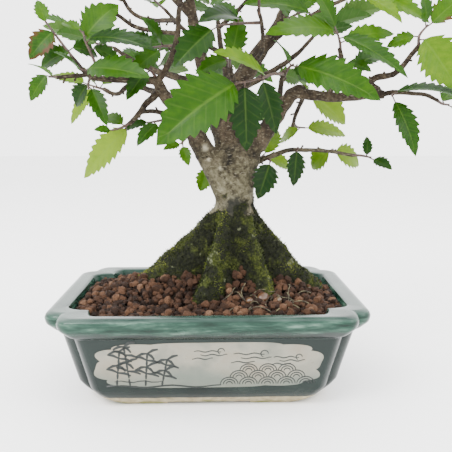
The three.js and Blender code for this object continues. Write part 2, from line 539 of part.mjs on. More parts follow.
// Leafy shoots that the front shows. Each leaf has the places of its blade's base and tip,
// its turn from lying flat towards the front in degrees, and its width over its length.
const FRONT_SPRAYS = {
  left_tip: {
    twig: [[-63, -25, 168.5], [-70, -27, 178], [-77, -30, 188]],
    leaves: [
      { base: [-74, -29, 183], tip: [-85, -31, 170], turn: 75, aspect: 0.7 },
      { base: [-67, -27, 174], tip: [-82, -22, 167], turn: 60, aspect: 0.7 },
      { base: [-66, -22, 177], tip: [-56, -11, 174], turn: 60, aspect: 0.7 },
      { base: [-77, -30, 188], tip: [-82, -24, 199], turn: 40, aspect: 0.5 },
    ],
  },
  left_upper: {
    twig: [[-53, -22, 162], [-56, -22, 171], [-60, -21, 180], [-61, -21, 185]],
    leaves: [
      { base: [-60, -19, 183], tip: [-46, -14, 197], turn: 70, aspect: 0.8 },
      { base: [-57, -25, 181], tip: [-24, -38, 173], turn: 35, aspect: 0.42 },
      { base: [-56, -18, 177], tip: [-44, -8, 171], turn: 55, aspect: 0.6 },
      { base: [-63, -20, 186], tip: [-73, -14, 190], turn: 50, aspect: 0.5 },
    ],
  },
  left_low: {
    twig: [[-71, -27.5, 162.5], [-77, -28, 162.5]],
    leaves: [
      { base: [-78, -28, 163], tip: [-87, -25, 151], turn: 65, aspect: 0.6 },
      { base: [-75, -30, 163], tip: [-83, -42, 167], turn: 20, aspect: 0.5 },
    ],
  },
  left_hang: {
    twig: [[-57.5, -23.5, 163.5], [-59, -22, 160], [-59, -22, 157]],
    leaves: [
      { base: [-60, -21, 159], tip: [-67, -14, 149], turn: 60, aspect: 0.75 },
      { base: [-57, -24, 157], tip: [-49, -30, 139], turn: 65, aspect: 0.42 },
    ],
  },
  left_front: {
    twig: [[-50, -20, 162], [-56, -27, 164.5], [-59, -31, 165.5]],
    leaves: [
      { base: [-57, -32, 166], tip: [-26, -48, 160], turn: 50, aspect: 0.45 },
      { base: [-61, -33, 166], tip: [-70, -45, 172], turn: 40, aspect: 0.55 },
    ],
  },
  low_left: {
    twig: [[-37, -23.5, 142], [-42, -26, 138.5], [-47, -28, 137]],
    leaves: [
      { base: [-41, -21, 137], tip: [-66, -7, 112], turn: 60, aspect: 0.4 },
      { base: [-48, -29, 137], tip: [-55, -36, 137], turn: 60, aspect: 0.6 },
      { base: [-43, -22, 140], tip: [-54, -10, 144], turn: 50, aspect: 0.5 },
    ],
  },
  left_inner: {
    twig: [[-18, -11, 144], [-24, -16, 142], [-29, -19, 141]],
    leaves: [
      { base: [-26, -20, 140], tip: [-35, -28, 129], turn: 55, aspect: 0.5 },
      { base: [-31, -19, 141], tip: [-44, -17, 136], turn: 45, aspect: 0.45 },
    ],
  },
  left_back: {
    twig: [[-55, 15, 159], [-62, 17, 161], [-68, 20, 163]],
    leaves: [
      { base: [-64, 20, 160], tip: [-80, 30, 141], turn: 60, aspect: 0.34 },
      { base: [-59, 19, 163], tip: [-48, 30, 168], turn: 50, aspect: 0.55 },
      { base: [-62, 13, 163], tip: [-70, 2, 170], turn: 50, aspect: 0.5 },
      { base: [-70, 21, 164], tip: [-90, 26, 168], turn: 40, aspect: 0.5 },
    ],
  },
  left_spur: {
    twig: [[-26, -16, 163], [-28, -22, 166], [-29, -24, 166]],
    leaves: [
      { base: [-30, -25, 165], tip: [-39, -33, 151], turn: 65, aspect: 0.5 },
    ],
  },
  inner_left: {
    twig: [[-16, -21, 178], [-22, -18, 178.5], [-29, -15, 178]],
    leaves: [
      { base: [-24, -19, 176], tip: [-38, -24, 164], turn: 60, aspect: 0.55 },
      { base: [-29, -13, 179], tip: [-42, -6, 186], turn: 55, aspect: 0.6 },
      { base: [-23, -20, 180], tip: [-32, -30, 190], turn: 55, aspect: 0.5 },
    ],
  },
  upper_front: {
    twig: [[26, -26, 188.5], [14, -29, 187.5], [4, -31, 186]],
    leaves: [
      { base: [2, -32, 184], tip: [-16, -38, 166], turn: 70, aspect: 0.58 },
      { base: [15, -32, 189], tip: [-4, -52, 184], turn: 50, aspect: 0.5 },
      { base: [13, -26, 189], tip: [4, -14, 200], turn: 60, aspect: 0.55 },
    ],
  },
  upper_front_tip: {
    twig: [[24.5, -32, 191.5], [24, -38, 196], [24, -41, 198]],
    leaves: [
      { base: [23, -43, 198], tip: [1, -58, 190], turn: 45, aspect: 0.5 },
      { base: [26, -42, 199], tip: [44, -54, 202], turn: 45, aspect: 0.5 },
      { base: [23, -41, 200], tip: [16, -46, 218], turn: 70, aspect: 0.5 },
    ],
  },
  centre_front: {
    twig: [[37, -30, 164], [31, -38, 163], [24, -43, 160.5], [17, -48, 158.5], [13, -50, 158]],
    leaves: [
      { base: [12, -52, 157], tip: [-23, -58, 130], turn: 66, aspect: 0.6 },
      { base: [26, -45, 162], tip: [2, -58, 170], turn: 40, aspect: 0.5 },
      { base: [17, -47, 156], tip: [18, -46, 127], turn: 90, aspect: 0.52 },
      { base: [26, -40, 159], tip: [33, -36, 135], turn: 80, aspect: 0.45 },
    ],
  },
  right_front: {
    twig: [[36.5, -26, 161], [39, -31, 166.5], [41, -34, 168]],
    leaves: [
      { base: [43, -35, 167], tip: [80, -47, 150], turn: 62, aspect: 0.46 },
      { base: [38, -35, 170], tip: [30, -48, 177], turn: 45, aspect: 0.5 },
    ],
  },
  right_upper: {
    twig: [[65, -26, 172], [64, -30, 178], [62, -31, 184]],
    leaves: [
      { base: [60, -32, 184], tip: [26, -47, 180], turn: 50, aspect: 0.44 },
      { base: [65, -32, 181], tip: [92, -48, 160], turn: 40, aspect: 0.34 },
      { base: [61, -31, 186], tip: [48, -30, 206], turn: 60, aspect: 0.34 },
      { base: [67, -28, 180], tip: [92, -24, 184], turn: 60, aspect: 0.42 },
    ],
  },
  right_top: {
    twig: [[70, -12, 203.5], [77, -12, 206], [86, -11, 207]],
    leaves: [
      { base: [79, -15, 203], tip: [92, -36, 187], turn: 45, aspect: 0.34 },
      { base: [87, -12, 205], tip: [110, -22, 189], turn: 50, aspect: 0.42 },
      { base: [82, -8, 208], tip: [96, 8, 216], turn: 40, aspect: 0.5 },
      { base: [88, -11, 210], tip: [110, -9, 220], turn: 45, aspect: 0.48 },
    ],
  },
  right_tip: {
    twig: [[102.5, -29.5, 177], [102, -31, 182], [106, -31, 187]],
    leaves: [
      { base: [104, -32, 180], tip: [121, -32, 157], turn: 80, aspect: 0.75 },
      { base: [100, -29, 182], tip: [88, -22, 177], turn: 60, aspect: 0.6 },
      { base: [108, -31, 188], tip: [124, -28, 201], turn: 60, aspect: 0.55 },
      { base: [104, -33, 188], tip: [98, -42, 201], turn: 60, aspect: 0.5 },
    ],
  },
  right_mid: {
    twig: [[94, -17.5, 155.5], [93, -21, 154.5], [92, -24, 154]],
    leaves: [
      { base: [94, -26, 156], tip: [126, -32, 151], turn: 25, aspect: 0.36 },
      { base: [94, -23, 151], tip: [104, -28, 124], turn: 65, aspect: 0.38 },
    ],
  },
  right_inner: {
    twig: [[66, -21, 167], [70, -16, 169.5], [74, -12, 170]],
    leaves: [
      { base: [71, -18, 171], tip: [82, -21, 166], turn: 55, aspect: 0.6 },
      { base: [76, -10, 170], tip: [94, 3, 177], turn: 55, aspect: 0.45 },
      { base: [72, -12, 168], tip: [78, 2, 160], turn: 55, aspect: 0.5 },
    ],
  },
  right_outer: {
    twig: [[116, -19, 152.5], [120, -17, 150.5], [124, -16, 150]],
    leaves: [
      { base: [125, -17, 149], tip: [140, -24, 141], turn: 55, aspect: 0.5 },
      { base: [121, -15, 152], tip: [132, -4, 160], turn: 50, aspect: 0.5 },
    ],
  },
  right_low: {
    twig: [[49, 24, 142], [52, 29, 139.5], [57, 31, 139]],
    leaves: [
      { base: [59, 31, 139], tip: [84, 44, 134], turn: 55, aspect: 0.42 },
      { base: [53, 32, 138], tip: [44, 50, 130], turn: 60, aspect: 0.5 },
    ],
  },
  right_back: {
    twig: [[51.5, 10, 154], [54, 14, 156.5], [57, 17, 157]],
    leaves: [
      { base: [59, 18, 156], tip: [80, 28, 141], turn: 62, aspect: 0.62 },
      { base: [55, 18, 158], tip: [50, 38, 160], turn: 50, aspect: 0.5 },
    ],
  },
  lower_tip: {
    twig: [[75, -13, 124.2], [80, -14, 124], [85, -15, 123]],
    leaves: [
      { base: [86, -16, 122], tip: [94, -22, 117], turn: 60, aspect: 0.6 },
      { base: [83, -13, 124.5], tip: [84, -8, 134], turn: 70, aspect: 0.5 },
    ],
  },
  lower_mid: {
    twig: [[64, -12, 126], [66, -7, 127], [67, -4, 127]],
    leaves: [
      { base: [69, -3, 126], tip: [84, 8, 118], turn: 62, aspect: 0.66 },
      { base: [65, -2, 126], tip: [58, 10, 116], turn: 62, aspect: 0.66 },
    ],
  },
  lower_inner: {
    twig: [[47, -8, 126.8], [47, -11.5, 128], [46.5, -12.5, 127.5]],
    leaves: [
      { base: [46, -13.5, 126], tip: [44.5, -14, 108], turn: 88, aspect: 0.52 },
    ],
  },
  base_right: {
    twig: [[26, 0, 119.5], [29, 5, 122.5], [31, 9, 124]],
    leaves: [
      { base: [32, 11, 125], tip: [40, 28, 138], turn: 60, aspect: 0.5 },
      { base: [33, 9, 123], tip: [50, 22, 117], turn: 60, aspect: 0.5 },
    ],
  },
  base_front: {
    twig: [[31, -1.8, 122.4], [33, -5, 121.5], [33, -6.5, 120.5]],
    leaves: [
      { base: [32.5, -7.5, 119], tip: [26, -12, 101], turn: 82, aspect: 0.66 },
    ],
  },
  trunk_left: {
    twig: [[8, 6, 114], [3, 15, 116], [1, 18, 116]],
    leaves: [
      { base: [0, 19, 115], tip: [-5, 28, 102], turn: 60, aspect: 0.6 },
    ],
  },
  left_bud: {
    twig: [[-10, -7.5, 135], [-13, -12, 131.5], [-14, -13, 130]],
    leaves: [
      { base: [-15, -14, 130], tip: [-23, -18, 127], turn: 60, aspect: 0.55 },
      { base: [-13, -14, 128.5], tip: [-10, -17, 119], turn: 75, aspect: 0.6 },
    ],
  },
  centre_top: {
    twig: [[35, 10, 189], [41, -2, 194], [47, -12, 196], [51, -17, 195]],
    leaves: [
      { base: [50, -19, 195], tip: [16, -34, 196], turn: 50, aspect: 0.44 },
      { base: [53, -18, 194], tip: [62, -30, 184], turn: 55, aspect: 0.5 },
      { base: [42, -4, 196], tip: [30, -14, 208], turn: 60, aspect: 0.5 },
      { base: [46, -8, 197], tip: [58, 2, 208], turn: 50, aspect: 0.5 },
    ],
  },
  centre_mid: {
    twig: [[11, -15.5, 169], [11, -21, 171.5], [11, -23, 173]],
    leaves: [
      { base: [12, -24.5, 174], tip: [17, -24, 193], turn: 80, aspect: 0.6 },
      { base: [9, -23, 171], tip: [-6, -28, 164], turn: 60, aspect: 0.55 },
    ],
  },
};

// Crown limbs that bear shoots by rule, with how many each bears
const SHOOTS = [2, 2, 3, 2, 1, 3, 2, 2, 1, 1, 1, 1, 1, 1];
const CROWN_MIDDLE = [10, 6, 185];
const LEAVES_PER_SHOOT = 6;
const GOLDEN_ANGLE = Math.PI * (3 - Math.sqrt(5));
const MOST_TRIES = 6;

const place = ([x, y, z]) => vec(x, y, z);

// A front leaf. Later tries bend it away from what it would cross.
function frontLeaf(spec, twig, spray, index, attempt) {
  const base = place(spec.base);
  const tip = place(spec.tip);
  const draw = drawsFrom(spray, index, attempt);
  const bend = 2.2 * attempt;
  tip.add(vec((draw() - 0.5) * bend, (draw() - 0.5) * 2 * bend, (draw() - 0.5) * bend));
  const turn = (spec.turn * Math.PI) / 180;
  const length = tip.distanceTo(base);
  return {
    stem: rootedStem(twig, base),
    base,
    tip,
    facing: vec(0, -Math.sin(turn), Math.cos(turn)),
    width: spec.aspect * length,
    arch: 0.05 + 0.05 * draw(),
    fold: 0.1 + 0.3 * draw(),
    teeth: teethFor(length),
  };
}

function teethFor(length) {
  if (length > 34) return 5;
  return length > 15 ? 4 : 3;
}

function nearestOn(route, point) {
  let best = null;
  for (let i = 0; i + 1 < route.length; i += 1) {
    const line = new THREE.Line3(route[i], route[i + 1]);
    const near = line.closestPointToPoint(point, true, vec(0, 0, 0));
    if (!best || near.distanceTo(point) < best.distanceTo(point)) best = near;
  }
  return best;
}

// Where a petiole starts: inside its twig, a little past the middle and short of the end
function rootedStem(route, base) {
  const end = route[route.length - 1];
  const inner = route.slice(0, -1);
  const setback = route[route.length - 2].clone().sub(end).setLength(STEM_SETBACK);
  const near = nearestOn([...inner, end.clone().add(setback)], base);
  return near.addScaledVector(near.clone().sub(base).normalize(), STEM_DEPTH);
}

// Point and heading at a share of a route's length
function along(route, share) {
  const points = route.map(place);
  const path = new THREE.CurvePath();
  for (let i = 0; i + 1 < points.length; i += 1) {
    path.add(new THREE.LineCurve3(points[i], points[i + 1]));
  }
  return { point: path.getPointAt(share), heading: path.getTangentAt(Math.min(share, 0.999)) };
}

// A crown shoot's twig: out of its limb by the golden angle, then up and away from the middle
function crownTwig(limbIndex, shoot, count, attempt) {
  const draw = drawsFrom(900 + limbIndex, shoot, attempt);
  const share = count === 1 ? 1 : 0.45 + (0.55 * shoot) / (count - 1);
  const { point, heading } = along(CROWN_LIMBS[limbIndex].route, share);
  const outward = point.clone().sub(place(CROWN_MIDDLE)).normalize();
  const side = vec(1, 0, 0).addScaledVector(heading, -heading.x).normalize();
  const other = heading.clone().cross(side);
  const angle = GOLDEN_ANGLE * (shoot + 3 * limbIndex) + 0.9 * attempt;
  const way = side.multiplyScalar(Math.cos(angle)).addScaledVector(other, Math.sin(angle));
  if (share === 1) way.multiplyScalar(0.15);
  way.addScaledVector(heading, share === 1 ? 1 : 0.35).addScaledVector(outward, 0.7).normalize();
  const length = 19 + 9 * draw();
  const rise = UP.clone().multiplyScalar(0.25 * draw()).add(outward.multiplyScalar(0.3));
  const steps = [way];
  for (let i = 0; i < 2; i += 1) steps.push(steps[i].clone().add(rise).normalize());
  const route = [point];
  steps.forEach((step, i) => route.push(route[i].clone().addScaledVector(step, length / 3)));
  return route;
}

// A crown leaf, alternate along its twig in two ranks, with one at the tip
function crownLeaf(twig, spray, index, attempt) {
  const draw = drawsFrom(spray, index, attempt);
  const share = 0.2 + (0.8 * index) / (LEAVES_PER_SHOOT - 1);
  const route = twig.map((p) => [p.x, p.y, p.z]);
  const { point, heading } = along(route, share);
  const outward = point.clone().sub(place(CROWN_MIDDLE)).normalize();
  const lateral = heading.clone().cross(UP).normalize();
  const sign = index % 2 === 0 ? 1 : -1;
  const spread = index === LEAVES_PER_SHOOT - 1 ? 0.2 : 1.1;
  const way = heading.clone()
    .addScaledVector(lateral, sign * (spread + 0.5 * (draw() - 0.5)))
    .addScaledVector(UP, 0.5 * (draw() - 0.6) - 0.12 * attempt)
    .normalize();
  const length = (23 + 12 * draw()) * (1 - 0.07 * attempt) * (index === 0 ? 0.8 : 1);
  const base = point.clone().addScaledVector(way, PETIOLE);
  return {
    stem: rootedStem(twig, base),
    base,
    tip: base.clone().addScaledVector(way, length).addScaledVector(UP, -0.16 * length),
    facing: UP.clone().addScaledVector(outward, 0.5 + 0.9 * draw()).normalize(),
    width: (BLADE_ASPECT - 0.04 + 0.1 * draw()) * length,
    arch: 0.04 + 0.08 * draw(),
    fold: 0.08 + 0.3 * draw(),
    teeth: length > 29 ? 4 : 3,
  };
}

// Boxes that hold a solid, to pass over what is far away
function near(a, b) {
  const p = a.boundingBox();
  const q = b.boundingBox();
  return [0, 1, 2].every((k) => p.min[k] <= q.max[k] && q.min[k] <= p.max[k]);
}

function crosses(solid, others) {
  return others.some((other) => near(solid, other) && !solid.intersect(other).isEmpty());
}

const onlyBlade = (leaf) => ({
  ...leaf,
  stem: leaf.base.clone().lerp(leaf.stem, 0.15),
});

// The first try of a leaf that clears the tree, the other shoots and its own shoot's blades
function placeLeaf(tryLeaf, blades, taken) {
  for (let attempt = 0; attempt < MOST_TRIES; attempt += 1) {
    const leaf = tryLeaf(attempt);
    const blade = leafSolid(onlyBlade(leaf), LEAF_CLEARANCE / 3);
    if (!crosses(blade, blades) && !crosses(leafSolid(leaf, LEAF_CLEARANCE), taken)) {
      blades.push(leafSolid(onlyBlade(leaf)));
      return leafSolid(leaf);
    }
  }
  return null;
}

function twigSolid(route, room = 0) {
  const points = route.map((p) => [p.x, p.y, p.z]);
  return limb(points, TWIG_BASE_RADIUS + room, TWIG_TIP_RADIUS + room, TWIG_SIDES);
}

// Only the largest body of a solid, without the scraps that a cut leaves
function largest(solid) {
  return solid.decompose().reduce((a, b) => (a.volume() > b.volume() ? a : b));
}

function spraySolid(route, leafAt, count, treeWithRoom, taken) {
  let solid = twigSolid(route).subtract(treeWithRoom);
  const blades = [];
  for (let index = 0; index < count; index += 1) {
    const leaf = placeLeaf((attempt) => leafAt(index, attempt), blades, taken);
    if (leaf) solid = solid.add(leaf);
  }
  return largest(solid);
}

function makeSprays(treeWithRoom) {
  const taken = [treeWithRoom];
  const sprays = [];
  const keep = (name, solid) => {
    taken.push(solid);
    sprays.push([name, solid]);
  };
  Object.entries(FRONT_SPRAYS).forEach(([name, { twig, leaves }], spray) => {
    const route = twig.map(place);
    const leafAt = (index, attempt) => frontLeaf(leaves[index], route, spray, index, attempt);
    keep(`spray_${name}`, spraySolid(route, leafAt, leaves.length, treeWithRoom, taken));
  });
  SHOOTS.forEach((count, limbIndex) => {
    for (let shoot = 0; shoot < count; shoot += 1) {
      const spray = 100 + 10 * limbIndex + shoot;
      const route = crownRoute(limbIndex, shoot, count, taken);
      if (!route) continue;
      const leafAt = (index, attempt) => crownLeaf(route, spray, index, attempt);
      const name = `spray_crown_${limbIndex + 1}_${shoot + 1}`;
      keep(name, spraySolid(route, leafAt, LEAVES_PER_SHOOT, treeWithRoom, taken));
    }
  });
  return sprays;
}

function crownRoute(limbIndex, shoot, count, taken) {
  for (let attempt = 0; attempt < MOST_TRIES; attempt += 1) {
    const route = crownTwig(limbIndex, shoot, count, attempt);
    const outer = [route[0].clone().lerp(route[1], 0.6), ...route.slice(1)];
    if (!crosses(twigSolid(outer, LEAF_CLEARANCE), taken)) return route;
  }
  return null;
}

const bonsai = new THREE.Group();
const barkMaterial = finish(COLOURS.bark, 0.85);
const leafMaterial = finish(COLOURS.leaf, 0.5);
const plasticMaterial = finish(COLOURS.plastic, 0.5);

bonsai.add(meshOf('pot', makePot(), finish(COLOURS.glaze, 0.3)));
bonsai.add(meshOf('soil', makeSoil(rootsAndTrunk(GAP)), finish(COLOURS.soil, 0.9)));
bonsai.add(meshOf('drain_mesh_left', drainMesh(-DRAIN_OFFSET), plasticMaterial));
bonsai.add(meshOf('drain_mesh_right', drainMesh(DRAIN_OFFSET), plasticMaterial));
bonsai.add(meshOf('tree', makeTree(0), barkMaterial));
for (const [name, solid] of makeSprays(makeTree(GAP))) {
  bonsai.add(meshOf(name, solid, leafMaterial));
}

const middle = new THREE.Box3().setFromObject(bonsai).getCenter(vec(0, 0, 0));
bonsai.position.set(-middle.x, -middle.y, 0);

export default bonsai;
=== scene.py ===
# A Japanese zelkova bonsai in a glazed pot, dressed for looks round its imported solids.
# The frame is in metres, +Z up, with the front at -Y. Listed places are in millimetres
# from the middle of the pot, as the tree was laid out.
import math

import bpy
from mathutils import Matrix, Vector, noise
from mathutils.kdtree import KDTree


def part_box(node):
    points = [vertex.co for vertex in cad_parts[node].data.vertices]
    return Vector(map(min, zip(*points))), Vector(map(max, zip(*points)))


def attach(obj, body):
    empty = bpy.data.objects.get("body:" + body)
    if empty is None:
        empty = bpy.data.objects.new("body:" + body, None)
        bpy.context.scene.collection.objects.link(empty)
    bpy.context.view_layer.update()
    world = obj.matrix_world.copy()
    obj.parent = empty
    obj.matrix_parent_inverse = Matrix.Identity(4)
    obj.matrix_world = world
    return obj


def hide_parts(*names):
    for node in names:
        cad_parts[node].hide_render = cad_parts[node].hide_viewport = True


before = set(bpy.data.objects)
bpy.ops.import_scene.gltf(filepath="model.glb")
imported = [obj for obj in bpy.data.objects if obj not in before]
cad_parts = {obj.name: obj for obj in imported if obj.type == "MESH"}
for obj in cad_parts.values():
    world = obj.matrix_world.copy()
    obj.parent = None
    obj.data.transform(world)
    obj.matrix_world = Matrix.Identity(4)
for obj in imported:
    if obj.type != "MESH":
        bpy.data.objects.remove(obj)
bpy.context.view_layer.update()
bpy.ops.object.select_all(action="DESELECT")


# Studio. A pale floor that runs out to a white background, with soft light from above, from
# the front left and from the right, and the camera that the photograph was taken with.
MM = 0.001
pot_low, pot_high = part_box("pot")
POT_MIDDLE = Vector(((pot_low[0] + pot_high[0]) / 2, (pot_low[1] + pot_high[1]) / 2, 0))


def place(x, y, z):
    """A place in millimetres from the pot's middle, as metres in the frame."""
    return POT_MIDDLE + MM * Vector((x, y, z))


class Shade:
    """One output of a material's node. Arithmetic on it adds Math nodes."""

    def __init__(self, tree, socket=None):
        self.tree = tree
        self.socket = socket

    def node(self, kind, settings=None, sockets=None, out=0):
        """A new node: its settings first, then the values or links of its sockets."""
        made = self.tree.nodes.new("ShaderNode" + kind)
        for key, value in (settings or {}).items():
            if key != "stops":
                setattr(made, key, value)
                continue
            ramp = made.color_ramp.elements
            ramp[0].position, ramp[-1].position = value[0][0], value[-1][0]
            for position, _ in value[1:-1]:
                ramp.new(position)
            for stop, (_, colour) in zip(sorted(ramp, key=lambda e: e.position), value):
                stop.color = (*colour, 1)
        for key, value in (sockets or {}).items():
            if isinstance(value, Shade):
                self.tree.links.new(value.socket, made.inputs[key])
            else:
                made.inputs[key].default_value = value
        return Shade(self.tree, made.outputs[out])

    def math(self, operation, *values):
        return self.node("Math", {"operation": operation}, dict(enumerate(values)))

    def __add__(self, other):
        return self.math("ADD", self, other)

    def __sub__(self, other):
        return self.math("SUBTRACT", self, other)

    def __rsub__(self, other):
        return self.math("SUBTRACT", other, self)

    def __mul__(self, other):
        return self.math("MULTIPLY", self, other)

    def __abs__(self):
        return self.math("ABSOLUTE", self)

    __radd__ = __add__
    __rmul__ = __mul__

    def step(self, low, high):
        """0 below low, 1 above high and smooth between, or the reverse if low is the larger."""
        ends = (low, high, 0, 1) if low < high else (high, low, 1, 0)
        sockets = {"Value": self}
        sockets.update(zip(("From Min", "From Max", "To Min", "To Max"), ends))
        return self.node("MapRange", {"interpolation_type": "SMOOTHSTEP"}, sockets)

    def mix(self, first, second):
        """One colour or the other by this mask."""
        colours = {0: self, 6: colour4(first), 7: colour4(second)}
        return self.node("Mix", {"data_type": "RGBA"}, colours, 2)

    def ramp(self, *stops):
        return self.node("ValToRGB", {"stops": stops}, {0: self})

    def grain(self, per_metre, detail=3, roughness=0.55, out=0):
        """Noise of about this many lumps in a metre, on the coordinates that this holds."""
        sockets = {"Vector": self, "Scale": per_metre, "Detail": detail, "Roughness": roughness}
        return self.node("TexNoise", None, sockets, out)

    def bump(self, height, strength):
        sockets = {"Height": self, "Distance": height, "Strength": strength}
        return self.node("Bump", None, sockets)


def colour4(value):
    """A colour for a socket: a link as it is, or three numbers with full opacity."""
    return value if isinstance(value, Shade) else (*value, 1)


class Finish:
    """A material under way: its shader, and the coordinates of the piece that wears it."""

    def __init__(self, name, **fixed):
        self.material = bpy.data.materials.new(name)
        self.material.use_nodes = True
        self.tree = self.material.node_tree
        self.shader = self.tree.nodes["Principled BSDF"]
        for key, value in fixed.items():
            self.shader.inputs[key.replace("_", " ")].default_value = value
        self.here = Shade(self.tree).node("TexCoord", out=3)

    def axis(self, letter):
        return self.here.node("SeparateXYZ", None, {0: self.here}, "XYZ".index(letter))

    def stretched(self, x, y, z):
        return self.here.node("Mapping", None, {"Vector": self.here, "Scale": (x, y, z)})

    def marked(self, name):
        """A number that the piece's mesh carries at each of its points."""
        return self.here.node("Attribute", {"attribute_name": name}, None, 2)

    def wear(self, **inputs):
        for key, value in inputs.items():
            self.tree.links.new(value.socket, self.shader.inputs[key.replace("_", " ")])
        return self.material


FLOOR_SIZE = 8
FLOOR_DROP = 0.0002
floor_finish = Finish("floor_paper", Roughness=0.75)
floor_tint = floor_finish.here.grain(3)
floor_material = floor_finish.wear(Base_Color=floor_tint.mix((0.86, 0.86, 0.855), (0.9, 0.9, 0.9)))
bpy.ops.mesh.primitive_plane_add(size=FLOOR_SIZE, location=(0, 0, -FLOOR_DROP))
studio_floor = bpy.context.object
studio_floor.name = "studio_floor"
studio_floor.data.materials.append(floor_material)

world = bpy.data.worlds.new("studio")
world.use_nodes = True
background = world.node_tree.nodes["Background"]
background.inputs["Color"].default_value = (1, 1, 1, 1)
background.inputs["Strength"].default_value = 4
bpy.context.scene.world = world

# Softboxes: place in millimetres, size in metres and power in watts
LIGHTS_AIM = (0, 0, 120)
SOFTBOXES = {
    "softbox_left": ((-520, -560, 760), 0.5, 15),
    "softbox_right": ((640, -380, 520), 0.5, 4),
    "softbox_top": ((60, 160, 980), 0.8, 6),
}
for light_name, (light_at, light_size, watts) in SOFTBOXES.items():
    light_place = place(*light_at)
    aim = (place(*LIGHTS_AIM) - light_place).to_track_quat("-Z", "Y").to_euler()
    bpy.ops.object.light_add(type="AREA", location=light_place, rotation=aim)
    softbox = bpy.context.object
    softbox.name = light_name
    softbox.data.size = light_size
    softbox.data.energy = watts

CAMERA_PLACE = (1.15, -334.1, 133.7)
CAMERA_DOWN = math.radians(8.27)
CAMERA_RIGHT = math.radians(1.45)
FOCAL_PIXELS = 613.3
IMAGE_PIXELS = 452
SENSOR_WIDTH = 36
camera_turn = (math.pi / 2 - CAMERA_DOWN, 0, -CAMERA_RIGHT)
bpy.ops.object.camera_add(location=place(*CAMERA_PLACE), rotation=camera_turn)
camera = bpy.context.object
camera.name = "camera"
camera.data.sensor_width = SENSOR_WIDTH
camera.data.lens = SENSOR_WIDTH * FOCAL_PIXELS / IMAGE_PIXELS
camera.data.clip_start = 0.01
bpy.context.scene.camera = camera
bpy.ops.object.select_all(action="DESELECT")


# Pot. One fired clay bowl with a thick rolled lip, a flat flange, indented corners and walls
# that taper to a low foot. A grey-green glaze runs pale and streaky over the lip, and stops
# short of the foot, which is bare cream clay with a green stain.
POT_HEIGHT = 50
RIM_HALF_LENGTH, RIM_HALF_WIDTH = 80, 60
FLANGE = 9.5
LIP_BOTTOM = 38.5
FLOOR_TOP = 9
CORNER_STEPS = 9
DRAIN_RADIUS, DRAIN_OFFSET, DRAIN_MIDDLE = 6, 32, 6
FOOT_HOLLOW_HALF_LENGTH, FOOT_HOLLOW_HALF_WIDTH, FOOT_HOLLOW_DEPTH = 45.5, 30.5, 3.5
INNER_TAPER_X, INNER_TAPER_Y = 9.5, 11.5
# Half length and half width of the two low arches under the foot, and their depth and rounding
ARCHES = ((21, 90), (90, 14))
ARCH_DEPTH, ARCH_ROUND = 2.8, 1.2
# How far across the flange, from its outer edge, and how far below the rim's top
FLANGE_DISH = ((0.12, -0.08), (0.35, 0.02), (0.6, 0.1), (0.82, 0.22), (0.94, 0.38), (1, 0.75))
OUTER_CORNER = (14, 18, 7.5, 11)
INNER_CORNER = (17.5, 19, 11.5, 11.5)
# Height, half length, half width and depth of the corner's step
POT_LEVELS = [
    (0, 53.5, 38.5, 0), (1.4, 57.4, 40, 0.1), (4, 61.4, 42.4, 0.3), (7, 64.6, 44.6, 0.55),
    (10, 67, 46, 0.8), (37.9, 73.4, 53.1, 1), (38.7, 73.5, 53.2, 1), (39.3, 75.3, 55.2, 1),
    (41, 76.9, 56.9, 1), (44, 79.4, 59.4, 1), (47, 80, 60, 1), (49.2, 79.2, 59.2, 1),
    (50, 77.4, 57.4, 1),
]


def corner_points(half_x, half_y, corner, depth):
    """A quarter of a ring: two rounded shoulders and the notch between them."""
    front, side, notch_x, notch_y = corner
    side_end = (half_x, half_y - side)
    notch = (half_x - notch_x, half_y - notch_y)
    front_end = (half_x - front, half_y)

    def arc(start, end, angle):
        x = end[0] + (start[0] - end[0]) * math.cos(angle)
        return x, start[1] + (end[1] - start[1]) * math.sin(angle)

    points = []
    for i in range(2 * CORNER_STEPS + 1):
        angle = i / CORNER_STEPS * math.pi / 2
        if i <= CORNER_STEPS:
            stepped = arc(side_end, notch, angle)
        else:
            stepped = arc(notch, front_end, angle - math.pi / 2)
        plain = arc(side_end, front_end, angle / 2)
        points.append([p + (s - p) * depth for p, s in zip(plain, stepped)])
    return points


def pot_ring(half_x, half_y, z, corner, depth):
    quarter = corner_points(half_x, half_y, corner, depth)
    back = quarter[::-1]
    ring = [(x, y) for x, y in quarter] + [(-x, y) for x, y in back]
    ring += [(-x, -y) for x, y in quarter] + [(x, -y) for x, y in back]
    return [Vector((x, y, z)) for x, y in ring]


def inner_ring(z, room=0):
    """One ring of the pot's inside, less some room, at a height."""
    run = (POT_HEIGHT - z) / (POT_HEIGHT - FLOOR_TOP)
    half_x = RIM_HALF_LENGTH - FLANGE - INNER_TAPER_X * run - room
    half_y = RIM_HALF_WIDTH - FLANGE + 1 - INNER_TAPER_Y * run - room
    lip = max(0, (z - LIP_BOTTOM) / (POT_HEIGHT - LIP_BOTTOM))
    return pot_ring(half_x, half_y, z, INNER_CORNER, 0.85 + 0.15 * lip)


def pot_level(z):
    """The outside's half length, half width and corner depth, rounded over 1 mm."""
    def plain(height):
        height = min(max(height, 0), POT_HEIGHT)
        for low, high in zip(POT_LEVELS, POT_LEVELS[1:]):
            if height <= high[0]:
                share = (height - low[0]) / (high[0] - low[0])
                return [a + (b - a) * share for a, b in zip(low[1:], high[1:])]

    reach = min(0.5, z, POT_HEIGHT - z)
    samples = [plain(z + reach * offset) for offset in (-1, -0.5, 0, 0.5, 1)]
    return [sum(values) / len(samples) for values in zip(*samples)]


